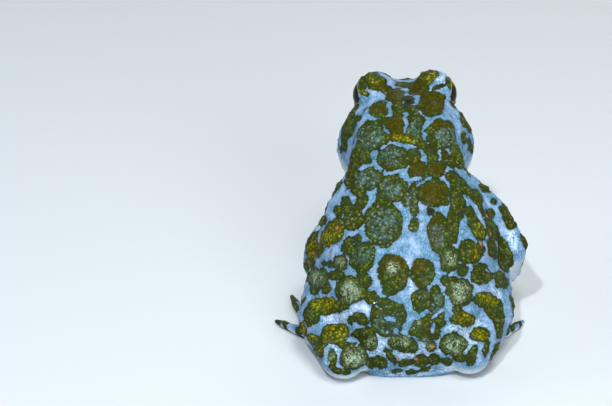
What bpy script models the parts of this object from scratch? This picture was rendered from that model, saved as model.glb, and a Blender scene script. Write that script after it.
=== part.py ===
"""A life-size European green toad, sitting, as a museum shows it: one closed solid for each part of the body.

Metres, +Z up. The toad faces -Y, its left side is +X, and the origin is on the floor under its middle.
Sizes are in millimetres on the toad's own axes: across (to its left), ahead (from the rump) and up.
"""

import math

import bmesh
import bpy
from mathutils import Matrix, Vector
from mathutils.bvhtree import BVHTree

MM = 0.001
MIDDLE_AHEAD = 31.68
MIDDLE_ACROSS = 1.72
SIDES = {"left": 1.0, "right": -1.0}
# Clearance between neighbouring solids
GAP = 0.3

# The trunk and head are one loft. Each section runs from a point on the back to a point on the belly, both as
# (ahead, up), and gives the half width and how far up from the belly the section is widest.
SECTIONS = (
    ("rump_tip", (0.2, 5.0), (1.0, 1.6), 5.5, 0.50),
    ("rump", (-0.9, 10.6), (4.0, -2.6), 9.8, 0.50),
    ("pelvis", (1.8, 17.2), (9.5, -3.0), 12.4, 0.48),
    ("sacrum", (6.8, 23.5), (15.0, -3.0), 15.0, 0.46),
    ("loin", (12.6, 29.0), (20.5, -2.2), 18.0, 0.45),
    ("belly", (19.0, 33.6), (26.5, 0.6), 19.3, 0.45),
    ("ribs", (25.2, 37.0), (33.0, 6.5), 17.6, 0.46),
    ("chest", (30.8, 39.6), (38.8, 12.2), 13.3, 0.50),
    ("shoulder", (35.2, 41.4), (43.0, 17.0), 12.2, 0.48),
    ("nape", (38.8, 42.4), (46.4, 20.6), 14.2, 0.44),
    ("jaw_angle", (42.4, 43.0), (49.6, 23.4), 14.9, 0.40),
    ("cheek", (46.4, 43.4), (53.0, 25.6), 13.6, 0.38),
    ("eye", (51.0, 43.2), (57.0, 27.4), 11.9, 0.36),
    ("eye_front", (55.0, 42.9), (60.0, 28.6), 10.6, 0.36),
    ("snout", (58.6, 42.0), (62.6, 30.0), 8.7, 0.40),
    ("nose", (61.5, 40.5), (64.6, 31.3), 6.6, 0.45),
    ("tip", (63.6, 38.2), (65.3, 32.9), 3.6, 0.50),
)
RING_POINTS = 40
RINGS_PER_SECTION = 3
SQUARENESS = 2.25
# How finely the back is searched for a place along it, and how far above it the search for its surface starts
PLACES_PER_SECTION = 8
ABOVE_BACK = 30.0

# Limbs are chains of balls, each (across, ahead, up, radius) on the left side, joined by tapered lengths.
THIGH = ((6.5, 7.0, 13.0, 7.4), (12.0, 15.0, 12.6, 6.8), (16.6, 24.2, 11.4, 4.8))
SHANK = {
    "left": ((17.2, 24.6, 9.4, 4.8), (17.2, 13.2, 7.4, 5.7), (13.4, 2.8, 4.7, 4.8)),
    "right": ((17.2, 24.6, 9.4, 4.7), (16.4, 13.6, 7.6, 5.4), (12.2, 3.6, 4.9, 4.7)),
}
HEEL = {"left": (13.4, 3.4, 3.6), "right": (12.4, 4.2, 3.6)}
HEEL_RADIUS = 3.0
UPPER_ARM = {
    "left": ((9.4, 37.0, 23.0, 5.0), (13.8, 33.6, 19.0, 4.5), (18.2, 30.2, 15.2, 3.9)),
    "right": ((11.5, 37.0, 24.0, 5.2), (18.0, 33.0, 20.0, 4.5), (21.6, 28.8, 15.0, 3.9)),
}
FOREARM = {
    "left": ((18.2, 30.4, 14.6, 3.9), (18.8, 33.4, 9.6, 4.0), (18.0, 37.6, 4.0, 2.6)),
    "right": ((21.4, 29.0, 14.4, 3.9), (20.6, 31.8, 9.4, 4.0), (19.6, 36.2, 4.0, 2.6)),
}
WRIST = {"left": (18.0, 37.8, 3.2), "right": (19.8, 36.6, 3.2)}

# Fingers and toes run from the palm or sole: length, turn outwards from the hand's or foot's own line, and
# radius at the root. The first is the inner one.
PALM_LENGTH = 3.6
PALM_UP = 1.7
PALM_RADIUS = 1.9
WRIST_RADIUS = 2.3
PALM_TURN = {"left": -30.0, "right": -34.0}
FINGERS = ((6.4, -52.0, 1.15), (7.4, -24.0, 1.15), (10.4, 2.0, 1.20), (8.0, 34.0, 1.10))
SOLE = {"left": (20.2, 15.4, 2.2), "right": (17.6, 12.8, 2.2)}
SOLE_RADIUS = 2.1
SOLE_TURN = {"left": 12.0, "right": 4.0}
TOES = (
    (6.8, -34.0, 1.05),
    (10.4, -24.0, 1.10),
    (15.4, -11.0, 1.20),
    (20.6, 3.0, 1.25),
    (12.2, 30.0, 1.15),
)
TIP_RADIUS = 0.62
TIP_UP = 0.43
# A digit bends at its knuckle: the share of its length, its height there and the share of its root's radius
KNUCKLE = 0.45
KNUCKLE_UP = 1.45
KNUCKLE_RADIUS = 0.9
WEB_SHARE = 0.52
WEB_THICK = 0.8
WEB_UP = 0.6

# Eyes and lids
EYE = (7.4, 52.2, 41.2)
EYE_RADIUS = 3.95
LID_RADII = (4.7, 5.5, 4.7)
LID_SHIFT = (-1.2, -0.3, 0.5)
EYE_SLIT = (12.2, 53.0, 40.9)
EYE_SLIT_RADII = (3.8, 3.6, 2.5)
BROW = ((6.4, 55.4, 41.2, 2.4), (4.6, 58.8, 40.4, 2.2), (3.2, 61.6, 38.8, 2.0))

# Glands behind the eyes, as (across, ahead on the back line, radius), and how far they stand proud of the back
GLAND = ((6.6, 40.4, 3.0), (7.9, 37.4, 3.6), (9.0, 34.2, 3.5), (10.2, 31.2, 2.8))
GLAND_PROUD = 1.7

# The larger warts, as (across, ahead on the back line, radius)
WARTS = (
    (-8.2, 10.8, 2.6), (8.8, 11.0, 2.5), (-2.6, 13.6, 2.3), (3.6, 14.0, 2.7), (-2.4, 5.6, 2.0),
    (2.6, 5.2, 2.0), (6.6, 22.2, 3.6), (-6.6, 20.4, 3.0), (4.2, 28.6, 2.4), (-5.6, 27.8, 3.0),
    (9.4, 30.0, 2.2), (2.6, 33.6, 2.2), (-3.0, 33.0, 2.0), (-9.8, 24.8, 2.4), (11.8, 17.4, 2.2),
    (-12.6, 18.2, 2.6), (13.8, 22.6, 2.4), (-14.0, 24.0, 2.3), (7.2, 5.4, 2.2), (-6.8, 5.8, 2.2),
    (11.6, 26.6, 2.0), (-10.6, 30.6, 1.9), (0.2, 9.2, 1.8), (0.8, 25.0, 1.8),
)
WART_PROUD = 0.65

# The line of the mouth runs along the loft from its corner, this far past a section, to the snout
MOUTH_CORNER = ("jaw_angle", 0.7)
MOUTH_ANGLES = (-20.0, -4.0)
MOUTH_STEPS = 11
MOUTH_RADIUS = 0.4
NOSTRIL = (2.7, 63.6, 39.6)
NOSTRIL_RADIUS = 0.6
EARDRUM = (14.0, 47.4, 36.8)
EARDRUM_RADIUS = 1.7
EARDRUM_GROOVE = 0.32
RING_STEPS = 12

# The trunk's parts from behind, and where it is cut across between them, each this far past a section
TRUNK_PARTS = ("rump", "torso", "neck", "head")
CUTS = (("sacrum", 0.0), ("chest", 0.5), ("nape", 0.7))

# Fineness: subdivisions of a ball, size of the melting grid, rounds of smoothing and triangles kept
BALL_FINENESS = 3
SMALL_BALL_FINENESS = 2
BODY_VOXEL = 0.8
BODY_SMOOTHING = 5
BODY_TRIANGLES = 5400
DIGIT_VOXEL = 0.36
DIGIT_SMOOTHING = 3
FOOT_TRIANGLES = 700
HAND_TRIANGLES = 500
# The tools that cut the body clear of the hands, feet and limbs are coarser than these
TOOL_SHARE = 0.55
TOOL_VOXEL = 0.8
TOOL_TRIANGLES = 220
# How far round a limb its part of the skin reaches, and how far the tools' blocks reach
PARTING_MARGIN = 0.9
TOOL_REACH = 120.0
TUBE_ROUNDNESS = 1
MERGE_WITHIN = 0.001
SLIVER = 0.002
SHARP_FROM = 38.0

SKIN = ((0.36, 0.38, 0.22, 1.0), 0.5)
EYE_COAT = ((0.03, 0.025, 0.02, 1.0), 0.08)


def at(across, ahead, up):
    """A place on the toad's axes, as a point of the model in metres."""
    return Vector((across - MIDDLE_ACROSS, MIDDLE_AHEAD - ahead, up)) * MM


def ball_points(centre, radii, fineness=BALL_FINENESS):
    """The points of a ball or an egg, at a place on the toad's axes."""
    bm = bmesh.new()
    bmesh.ops.create_icosphere(bm, subdivisions=fineness, radius=1.0)
    across, ahead, up = radii
    points = [
        at(centre[0] + across * v.co.x, centre[1] - ahead * v.co.y, centre[2] + up * v.co.z)
        for v in bm.verts
    ]
    bm.free()
    return points


def add_hull(bm, points):
    """Adds the closed hull round the points."""
    verts = [bm.verts.new(p) for p in points]
    made = bmesh.ops.convex_hull(bm, input=verts)
    spare = {e for key in ("geom_interior", "geom_unused") for e in made[key]}
    bmesh.ops.delete(bm, geom=[e for e in spare if isinstance(e, bmesh.types.BMVert)], context="VERTS")


def add_ball(bm, centre, radii, fineness=BALL_FINENESS):
    add_hull(bm, ball_points(centre, radii, fineness))


def add_chain(bm, balls, grow=0.0, fineness=BALL_FINENESS):
    """Adds tapered lengths from each ball (across, ahead, up, radius) to the next."""
    clouds = [ball_points(b[:3], (b[3] + grow,) * 3, fineness) for b in balls]
    for first, second in zip(clouds, clouds[1:]):
        add_hull(bm, first + second)


def mirrored(balls, side):
    """The same places on the named side."""
    return [(b[0] * SIDES[side], *b[1:]) for b in balls]


def mesh_object(name, bm):
    bmesh.ops.recalc_face_normals(bm, faces=bm.faces)
    mesh = bpy.data.meshes.new(name)
    bm.to_mesh(mesh)
    bm.free()
    obj = bpy.data.objects.new(name, mesh)
    bpy.context.scene.collection.objects.link(obj)
    return obj


def applied(obj):
    """Applies the object's modifiers."""
    graph = bpy.context.evaluated_depsgraph_get()
    mesh = bpy.data.meshes.new_from_object(obj.evaluated_get(graph))
    obj.modifiers.clear()
    old = obj.data
    obj.data = mesh
    bpy.data.meshes.remove(old)
    return obj


def fused(obj, voxel, smoothing, triangles):
    """Melts overlapping lumps into one skin, softens it and thins it to about this many triangles."""
    melt = obj.modifiers.new("melt", "REMESH")
    melt.mode = "VOXEL"
    melt.voxel_size = voxel * MM
    soften = obj.modifiers.new("soften", "SMOOTH")
    soften.factor = 0.5
    soften.iterations = smoothing
    applied(obj)
    thin = obj.modifiers.new("thin", "DECIMATE")
    thin.ratio = min(1.0, triangles / (2 * len(obj.data.polygons)))
    applied(obj)
    return keep_largest(obj)


def keep_largest(obj):
    """Keeps the largest closed surface of the mesh."""
    bm = bmesh.new()
    bm.from_mesh(obj.data)
    bmesh.ops.triangulate(bm, faces=bm.faces)
    loose = set(bm.faces)
    shells = []
    while loose:
        reached = [loose.pop()]
        shell = set(reached)
        while reached:
            beside = {other for edge in reached.pop().edges for other in edge.link_faces} & loose
            loose -= beside
            shell |= beside
            reached.extend(beside)
        shells.append(shell)
    shells.sort(key=lambda faces: sum(f.calc_area() for f in faces))
    spare = [f for shell in shells[:-1] for f in shell]
    bmesh.ops.delete(bm, geom=spare, context="FACES")
    bmesh.ops.dissolve_degenerate(bm, dist=SLIVER * MM, edges=bm.edges)
    bmesh.ops.triangulate(bm, faces=bm.faces)
    bm.to_mesh(obj.data)
    bm.free()
    return obj


def boolean(obj, other, operation):
    step = obj.modifiers.new(operation.lower(), "BOOLEAN")
    step.operation = operation
    step.solver = "EXACT"
    step.object = other
    return applied(obj)


def copy_of(obj, name):
    twin = bpy.data.objects.new(name, obj.data.copy())
    bpy.context.scene.collection.objects.link(twin)
    return twin


def removed(*objs):
    for obj in objs:
        bpy.data.objects.remove(obj)


# The trunk's loft


def place_of(section, onward=0.0):
    """A place along the trunk, counted in sections: this far past the named one."""
    return [s[0] for s in SECTIONS].index(section) + onward


def blended(values, place):
    """The value at a place between the sections, on a smooth curve through them."""
    last = len(values) - 1
    i = min(int(place), last - 1)
    f = place - i
    before, a, b, after = (values[max(0, min(last, k))] for k in (i - 1, i, i + 1, i + 2))
    slope, bend, twist = b - before, 2 * before - 5 * a + 4 * b - after, 3 * (a - b) + after - before
    return 0.5 * (2 * a + slope * f + bend * f**2 + twist * f**3)


def section_at(place):
    """Back point, belly point, half width and widest share at a place counted in sections."""
    backs, bellies, half_widths, widest = zip(*(section[1:] for section in SECTIONS))
    back = blended([Vector(p) for p in backs], place)
    belly = blended([Vector(p) for p in bellies], place)
    return back, belly, blended(half_widths, place), blended(widest, place)


def on_section(place, angle):
    """The point of a section at an angle, 0 degrees to the left and 90 on the back, as (across, ahead, up)."""
    back, belly, half_width, widest = section_at(place)
    c, s = math.cos(math.radians(angle)), math.sin(math.radians(angle))
    power = 2.0 / SQUARENESS
    reach = (1 - widest) if s > 0 else widest
    middle = belly.lerp(back, widest + reach * math.copysign(abs(s) ** power, s))
    return half_width * math.copysign(abs(c) ** power, c), middle.x, middle.y


def add_trunk(bm):
    """Adds the loft through all the sections, closed at the rump and at the tip of the snout."""
    rings = []
    for i in range((len(SECTIONS) - 1) * RINGS_PER_SECTION + 1):
        angles = [360.0 * k / RING_POINTS for k in range(RING_POINTS)]
        rings.append([bm.verts.new(at(*on_section(i / RINGS_PER_SECTION, a))) for a in angles])
    for ring, following in zip(rings, rings[1:]):
        for k in range(RING_POINTS):
            n = (k + 1) % RING_POINTS
            bm.faces.new((ring[k], ring[n], following[n], following[k]))
    bm.faces.new(reversed(rings[0]))
    bm.faces.new(rings[-1])


class Back:
    """Finds places on the trunk's surface from a place across and a place along the back line."""

    def __init__(self):
        bm = bmesh.new()
        add_trunk(bm)
        bmesh.ops.recalc_face_normals(bm, faces=bm.faces)
        self.tree = BVHTree.FromBMesh(bm)
        bm.free()

    def point(self, across, ahead, depth):
        """A point this deep under the skin, as (across, ahead, up)."""
        places = (k / PLACES_PER_SECTION for k in range(PLACES_PER_SECTION * (len(SECTIONS) - 1)))
        place = min(places, key=lambda p: abs(section_at(p)[0].x - ahead))
        back, belly = section_at(place)[:2]
        down = (belly - back).normalized()
        above = back - ABOVE_BACK * down
        hit, normal = self.tree.ray_cast(at(across, above.x, above.y), Vector((0, -down.x, down.y)))[:2]
        hit = (hit - normal * depth * MM) / MM
        return hit.x + MIDDLE_ACROSS, MIDDLE_AHEAD - hit.y, hit.z


# Lumps that stand on the trunk


def add_glands(bm, back, side):
    """Adds the long gland behind an eye."""
    balls = []
    for across, ahead, radius in GLAND:
        balls.append((*back.point(across * SIDES[side], ahead, radius - GLAND_PROUD), radius))
    add_chain(bm, balls)


def add_warts(bm, back):
    for across, ahead, radius in WARTS:
        add_ball(bm, back.point(across, ahead, radius - WART_PROUD), (radius,) * 3, SMALL_BALL_FINENESS)


def add_eye_bulge(bm, side):
    """Adds the lids' bulge over an eye and the ridge that runs from it to the nostril."""
    centre = [EYE[i] + LID_SHIFT[i] for i in range(3)]
    add_ball(bm, (centre[0] * SIDES[side], *centre[1:]), LID_RADII)
    add_chain(bm, mirrored(BROW, side))


def body():
    """The whole body but the hands and feet, as one skin."""
    bm = bmesh.new()
    add_trunk(bm)
    back = Back()
    add_warts(bm, back)
    for side in SIDES:
        add_glands(bm, back, side)
        add_eye_bulge(bm, side)
        for chain in (THIGH, SHANK[side], UPPER_ARM[side], FOREARM[side]):
            add_chain(bm, mirrored(chain, side))
    return fused(mesh_object("body", bm), BODY_VOXEL, BODY_SMOOTHING, BODY_TRIANGLES)


# Hands and feet


def digit(root, length, heading, radius, grow):
    """A finger or toe as three balls that arch down to its tip."""
    c, s = math.cos(math.radians(heading)), math.sin(math.radians(heading))
    balls = []
    knuckle = (KNUCKLE, KNUCKLE_UP, radius * KNUCKLE_RADIUS)
    for share, up, r in ((0.0, root[2], radius), knuckle, (1.0, TIP_UP, TIP_RADIUS)):
        balls.append((root[0] + length * share * s, root[1] + length * share * c, up, r + grow))
    return balls


def hand_balls(side, grow):
    """The palm's and the fingers' chains on the left side."""
    wrist = WRIST[side]
    turn = math.radians(PALM_TURN[side])
    palm = (wrist[0] + PALM_LENGTH * math.sin(turn), wrist[1] + PALM_LENGTH * math.cos(turn), PALM_UP)
    chains = [[(*wrist, WRIST_RADIUS + grow), (*palm, PALM_RADIUS + grow)]]
    for length, spread, radius in FINGERS:
        chains.append(digit(palm, length, PALM_TURN[side] + spread, radius, grow))
    return chains


def foot_balls(side, grow):
    """The sole's and the toes' chains on the left side."""
    sole = SOLE[side]
    chains = [[(*HEEL[side], HEEL_RADIUS + grow), (*sole, SOLE_RADIUS + grow)]]
    for length, spread, radius in TOES:
        chains.append(digit(sole, length, SOLE_TURN[side] + spread, radius, grow))
    return chains


def add_web(bm, toe, following, side, grow):
    """Adds the web between two toes, a thin wedge from their root out to a share of their length."""
    half = WEB_THICK / 2 + grow
    corners = [toe[0][:2]]
    for balls in (toe, following):
        root, tip = Vector(balls[0][:2]), Vector(balls[-1][:2])
        corners.append(root.lerp(tip, WEB_SHARE))
    add_hull(bm, [at(x * SIDES[side], y, WEB_UP + z) for x, y in corners for z in (-half, half)])


def extremity(name, chains, side, grow, triangles, webbed):
    """A hand or a foot as one skin, grown by this much."""
    bm = bmesh.new()
    for chain in chains:
        add_chain(bm, mirrored(chain, side), fineness=SMALL_BALL_FINENESS)
    if webbed:
        toes = chains[1:]
        for toe, following in zip(toes, toes[1:]):
            add_web(bm, toe, following, side, grow)
    return fused(mesh_object(name, bm), DIGIT_VOXEL, DIGIT_SMOOTHING, triangles)


# Parting the whole into its nodes


def floor_tool():
    """A block whose upper face is the floor."""
    bm = bmesh.new()
    size = 2 * TOOL_REACH * MM
    bmesh.ops.create_cube(bm, size=size, matrix=Matrix.Translation((0, 0, -size / 2)))
    return mesh_object("floor_tool", bm)


def limb_tool(balls, side):
    """A closed tool round a limb, a little larger than the limb."""
    bm = bmesh.new()
    add_chain(bm, mirrored(balls, side), grow=PARTING_MARGIN, fineness=SMALL_BALL_FINENESS)
    return fused(mesh_object("tool", bm), TOOL_VOXEL, 0, TOOL_TRIANGLES)


def swell(obj, amount):
    """Moves the tool's skin outwards by this much."""
    bm = bmesh.new()
    bm.from_mesh(obj.data)
    bm.normal_update()
    moves = [v.normal * v.calc_shell_factor() * amount * MM for v in bm.verts]
    for v, move in zip(bm.verts, moves):
        v.co += move
    bm.to_mesh(obj.data)
    bm.free()


def section_tool(place, ahead):
    """A block that holds all that lies ahead of a section of the trunk, or all that lies behind it."""
    back, belly = section_at(place)[:2]
    down = (belly - back).normalized()
    forward = Vector((-down.y, down.x)) * (1 if ahead else -1)
    near = back - forward * GAP / 2
    far = near + forward * TOOL_REACH
    bm = bmesh.new()
    corners = []
    for across in (-TOOL_REACH, TOOL_REACH):
        for base in (near, far):
            for reach in (-TOOL_REACH, TOOL_REACH):
                corner = base + down * reach
                corners.append(at(across, corner.x, corner.y))
    add_hull(bm, corners)
    return mesh_object("tool", bm)


def tube_tool(points, radius, closed):
    """A round tube along the points."""
    curve = bpy.data.curves.new("tool", "CURVE")
    curve.dimensions = "3D"
    line = curve.splines.new("POLY")
    line.points.add(len(points) - 1)
    for spot, point in zip(line.points, points):
        spot.co = (*point, 1.0)
    line.use_cyclic_u = closed
    curve.bevel_depth = radius * MM
    curve.bevel_resolution = TUBE_ROUNDNESS
    curve.use_fill_caps = not closed
    bend = bpy.data.objects.new("bend", curve)
    bpy.context.scene.collection.objects.link(bend)
    mesh = bpy.data.meshes.new_from_object(bend.evaluated_get(bpy.context.evaluated_depsgraph_get()))
    removed(bend)
    bm = bmesh.new()
    bm.from_mesh(mesh)
    bpy.data.meshes.remove(mesh)
    bmesh.ops.remove_doubles(bm, verts=bm.verts, dist=MERGE_WITHIN * MM)
    return mesh_object("tool", bm)


def ball_object(name, centre, radii, side, fineness=BALL_FINENESS):
    bm = bmesh.new()
    add_ball(bm, (centre[0] * SIDES[side], *centre[1:]), radii, fineness)
    return mesh_object(name, bm)


def skin_tree(obj):
    bm = bmesh.new()
    bm.from_mesh(obj.data)
    tree = BVHTree.FromBMesh(bm)
    bm.free()
    return tree


def mouth_tool(tree):
    """The tube that cuts the line of the mouth, from one corner round the snout to the other."""
    half = []
    corner = place_of(*MOUTH_CORNER)
    for k in range(MOUTH_STEPS + 1):
        share = k / MOUTH_STEPS
        place = corner + (len(SECTIONS) - 1 - corner) * share
        half.append(on_section(place, MOUTH_ANGLES[0] + (MOUTH_ANGLES[1] - MOUTH_ANGLES[0]) * share))
    line = [at(*p) for p in half] + [at(-p[0], *p[1:]) for p in reversed(half)]
    return tube_tool([tree.find_nearest(p)[0] for p in line], MOUTH_RADIUS, False)


def eardrum_tool(tree, side):
    """The ring that cuts the rim of the eardrum."""
    centre, normal = tree.find_nearest(at(EARDRUM[0] * SIDES[side], *EARDRUM[1:]))[:2]
    turn = normal.to_track_quat("Z", "Y")
    ring = []
    for k in range(RING_STEPS):
        a = math.tau * k / RING_STEPS
        ring.append(centre + turn @ Vector((math.cos(a), math.sin(a), 0)) * EARDRUM_RADIUS * MM)
    return tube_tool([tree.find_nearest(p)[0] for p in ring], EARDRUM_GROOVE, True)


def cut_head(whole):
    """Cuts the mouth, the nostrils, the eardrums, the sockets and the openings between the lids."""
    tree = skin_tree(whole)
    tools = [mouth_tool(tree)]
    for side, sign in SIDES.items():
        tools.append(eardrum_tool(tree, side))
        tools.append(ball_object("tool", EYE, (EYE_RADIUS + GAP,) * 3, side))
        tools.append(ball_object("tool", EYE_SLIT, EYE_SLIT_RADII, side))
        spot = tree.find_nearest(at(NOSTRIL[0] * sign, *NOSTRIL[1:]))[0] / MM
        nostril = (abs(spot.x + MIDDLE_ACROSS), MIDDLE_AHEAD - spot.y, spot.z)
        tools.append(ball_object("tool", nostril, (NOSTRIL_RADIUS,) * 3, side, SMALL_BALL_FINENESS))
    for tool in tools:
        boolean(whole, tool, "DIFFERENCE")
    removed(*tools)


def taken(whole, tool, name):
    """The share of the whole that lies inside the tool, as its own object."""
    return keep_largest(boolean(copy_of(whole, name), tool, "INTERSECT"))


def material(name, look):
    colour, roughness = look
    made = bpy.data.materials.new(name)
    made.use_nodes = True
    shader = made.node_tree.nodes["Principled BSDF"]
    shader.inputs["Base Color"].default_value = colour
    shader.inputs["Roughness"].default_value = roughness
    return made


def hands_and_feet(whole, floor):
    """Makes the hands and feet, flat where they meet the floor, and cuts the body clear of them."""
    nodes = []
    for side in SIDES:
        for name, maker, triangles, webbed in (
            ("foot", foot_balls, FOOT_TRIANGLES, True),
            ("hand", hand_balls, HAND_TRIANGLES, False),
        ):
            node = extremity(f"{name}_{side}", maker(side, 0.0), side, 0.0, triangles, webbed)
            boolean(node, floor, "DIFFERENCE")
            nodes.append(keep_largest(node))
            tool = extremity("tool", maker(side, GAP), side, GAP, triangles * TOOL_SHARE, webbed)
            boolean(whole, tool, "DIFFERENCE")
            removed(tool)
    keep_largest(whole)
    return nodes


def limbs(whole):
    """Parts each arm and leg from the body at its joints."""
    nodes = []
    for side in SIDES:
        for name, balls in (
            ("forearm", FOREARM[side]),
            ("upper_arm", UPPER_ARM[side]),
            ("shank", SHANK[side]),
            ("thigh", THIGH),
        ):
            tool = limb_tool(balls, side)
            nodes.append(taken(whole, tool, f"{name}_{side}"))
            swell(tool, GAP)
            boolean(whole, tool, "DIFFERENCE")
            removed(tool)
    keep_largest(whole)
    return nodes


def trunk(whole):
    """Parts what is left of the body into the head, neck, torso and rump."""
    nodes = []
    for i, name in enumerate(TRUNK_PARTS):
        piece = copy_of(whole, name)
        for cut, ahead in ((i - 1, False), (i, True)):
            if 0 <= cut < len(CUTS):
                tool = section_tool(place_of(*CUTS[cut]), ahead)
                boolean(piece, tool, "DIFFERENCE")
                removed(tool)
        nodes.append(keep_largest(piece))
    return nodes


def eyes(coat):
    for side in SIDES:
        eye = ball_object(f"eye_{side}", EYE, (EYE_RADIUS,) * 3, side)
        eye.data.materials.append(coat)


def dressed(node, skin):
    """Gives a node of flesh its material and its shading."""
    node.data.materials.clear()
    node.data.materials.append(skin)
    node.data.shade_smooth()
    node.data.set_sharp_from_angle(angle=math.radians(SHARP_FROM))


def main():
    for obj in list(bpy.data.objects):
        bpy.data.objects.remove(obj)
    whole = body()
    floor = floor_tool()
    boolean(whole, floor, "DIFFERENCE")
    cut_head(whole)
    nodes = hands_and_feet(whole, floor) + limbs(whole) + trunk(whole)
    removed(whole, floor)
    skin = material("toad_skin", SKIN)
    for node in nodes:
        dressed(node, skin)
    eyes(material("toad_eye", EYE_COAT))


main()
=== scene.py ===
"""The looks of a sitting European green toad: one warty, wet skin over the whole animal, and its two eyes.

Shapes are worked out in millimetres on the toad's own axes: across to its left, ahead from the rump and up.
"""

import math

import bmesh
import bpy
import numpy as np
from mathutils import Matrix, Vector
from mathutils.bvhtree import BVHTree


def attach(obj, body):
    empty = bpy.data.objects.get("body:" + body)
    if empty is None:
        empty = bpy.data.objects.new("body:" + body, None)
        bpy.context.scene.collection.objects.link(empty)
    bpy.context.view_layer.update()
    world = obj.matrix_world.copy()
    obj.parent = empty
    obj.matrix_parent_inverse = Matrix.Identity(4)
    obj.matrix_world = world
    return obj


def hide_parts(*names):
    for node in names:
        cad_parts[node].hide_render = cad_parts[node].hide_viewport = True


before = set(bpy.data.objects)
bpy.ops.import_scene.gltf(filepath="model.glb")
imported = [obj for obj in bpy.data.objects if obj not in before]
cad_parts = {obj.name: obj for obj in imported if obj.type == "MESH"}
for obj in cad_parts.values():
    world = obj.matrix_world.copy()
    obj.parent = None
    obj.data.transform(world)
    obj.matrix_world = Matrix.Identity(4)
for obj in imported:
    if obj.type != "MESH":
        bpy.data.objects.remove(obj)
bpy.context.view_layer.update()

MM = 0.001
TINY = 1e-6
MIDDLE_AHEAD = 31.68
MIDDLE_ACROSS = 1.72
# The toad looks against the model's second axis
TURNED = (1, -1, 1)
SIDES = {"left": 1.0, "right": -1.0}
FLESH = [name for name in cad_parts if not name.startswith("eye_")]

# The photo's camera: it looks down from behind, with the rump's foot on the floor at this pixel
FRAME_WIDTH, FRAME_HEIGHT = 612, 406
FOCAL_PIXELS = 2000.0
SENSOR_WIDTH = 36.0
CLIP_START = 0.01
RUMP_PIXEL = (409.5, 382.3)
RUMP_DEPTH = 408.0
LOOK_DOWN = 32.0
CAMERA_ROLL = -2.4

# The trunk's sections: back and belly point as (ahead, up), half width, and how far up they are widest
SECTIONS = (
    ("rump_tip", (0.2, 5.0), (1.0, 1.6), 5.5, 0.50),
    ("rump", (-0.9, 10.6), (4.0, -2.6), 9.8, 0.50),
    ("pelvis", (1.8, 17.2), (9.5, -3.0), 12.4, 0.48),
    ("sacrum", (6.8, 23.5), (15.0, -3.0), 15.0, 0.46),
    ("loin", (12.6, 29.0), (20.5, -2.2), 18.0, 0.45),
    ("belly", (19.0, 33.6), (26.5, 0.6), 19.3, 0.45),
    ("ribs", (25.2, 37.0), (33.0, 6.5), 17.6, 0.46),
    ("chest", (30.8, 39.6), (38.8, 12.2), 13.3, 0.50),
    ("shoulder", (35.2, 41.4), (43.0, 17.0), 12.2, 0.48),
    ("nape", (38.8, 42.4), (46.4, 20.6), 14.2, 0.44),
    ("jaw_angle", (42.4, 43.0), (49.6, 23.4), 14.9, 0.40),
    ("cheek", (46.4, 43.4), (53.0, 25.6), 13.6, 0.38),
    ("eye", (51.0, 43.2), (57.0, 27.4), 11.9, 0.36),
    ("eye_front", (55.0, 42.9), (60.0, 28.6), 10.6, 0.36),
    ("snout", (58.6, 42.0), (62.6, 30.0), 8.7, 0.40),
    ("nose", (61.5, 40.5), (64.6, 31.3), 6.6, 0.45),
    ("tip", (63.6, 38.2), (65.3, 32.9), 3.6, 0.50),
)
RING_POINTS = 48
RINGS_PER_SECTION = 4
SQUARENESS = 2.25

# Limbs as chains of balls (across, ahead, up, radius) on the left side
THIGH = ((6.5, 7.0, 13.0, 7.4), (12.0, 15.0, 12.6, 6.8), (16.6, 24.2, 11.4, 4.8))
SHANK = {
    "left": ((17.2, 24.6, 9.4, 4.8), (17.2, 13.2, 7.4, 5.7), (13.4, 2.8, 4.7, 4.8)),
    "right": ((17.2, 24.6, 9.4, 4.7), (16.4, 13.6, 7.6, 5.4), (12.2, 3.6, 4.9, 4.7)),
}
UPPER_ARM = {
    "left": ((9.4, 37.0, 23.0, 5.0), (13.8, 33.6, 19.0, 4.5), (18.2, 30.2, 15.2, 3.9)),
    "right": ((11.5, 37.0, 24.0, 5.2), (18.0, 33.0, 20.0, 4.5), (21.6, 28.8, 15.0, 3.9)),
}
FOREARM = {
    "left": ((18.2, 30.4, 14.6, 3.9), (18.8, 33.4, 9.6, 4.0), (18.0, 37.6, 4.0, 2.6)),
    "right": ((21.4, 29.0, 14.4, 3.9), (20.6, 31.8, 9.4, 4.0), (19.6, 36.2, 4.0, 2.6)),
}

# Hands and feet: length, turn outwards and root radius of each finger and toe
WRIST = {"left": (18.0, 37.8, 3.2), "right": (19.8, 36.6, 3.2)}
WRIST_RADIUS = 2.3
PALM_LENGTH = 3.6
PALM_UP = 1.7
PALM_RADIUS = 1.9
PALM_TURN = {"left": -30.0, "right": -34.0}
FINGERS = ((6.4, -52.0, 1.15), (7.4, -24.0, 1.15), (10.4, 2.0, 1.20), (8.0, 34.0, 1.10))
HEEL = {"left": (13.4, 3.4, 3.6), "right": (12.4, 4.2, 3.6)}
HEEL_RADIUS = 3.0
SOLE = {"left": (20.2, 15.4, 2.2), "right": (17.6, 12.8, 2.2)}
SOLE_RADIUS = 2.1
SOLE_TURN = {"left": 12.0, "right": 4.0}
TOES = ((6.8, -34.0, 1.05), (10.4, -24.0, 1.10), (15.4, -11.0, 1.20), (20.6, 3.0, 1.25), (12.2, 30.0, 1.15))
TIP_RADIUS = 0.62
# Shares of a digit's length, its height over the floor there and its radius as a share of the root's
JOINTS = ((0.22, 2.0, 0.84), (0.45, 1.45, 0.98), (0.64, 1.1, 0.74), (0.78, 0.9, 0.84), (0.9, 0.72, 0.62))
TIP_UP = 0.55
WEB_SHARE = 0.52
WEB_THICK = 0.7
WEB_UP = 0.55

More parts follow.
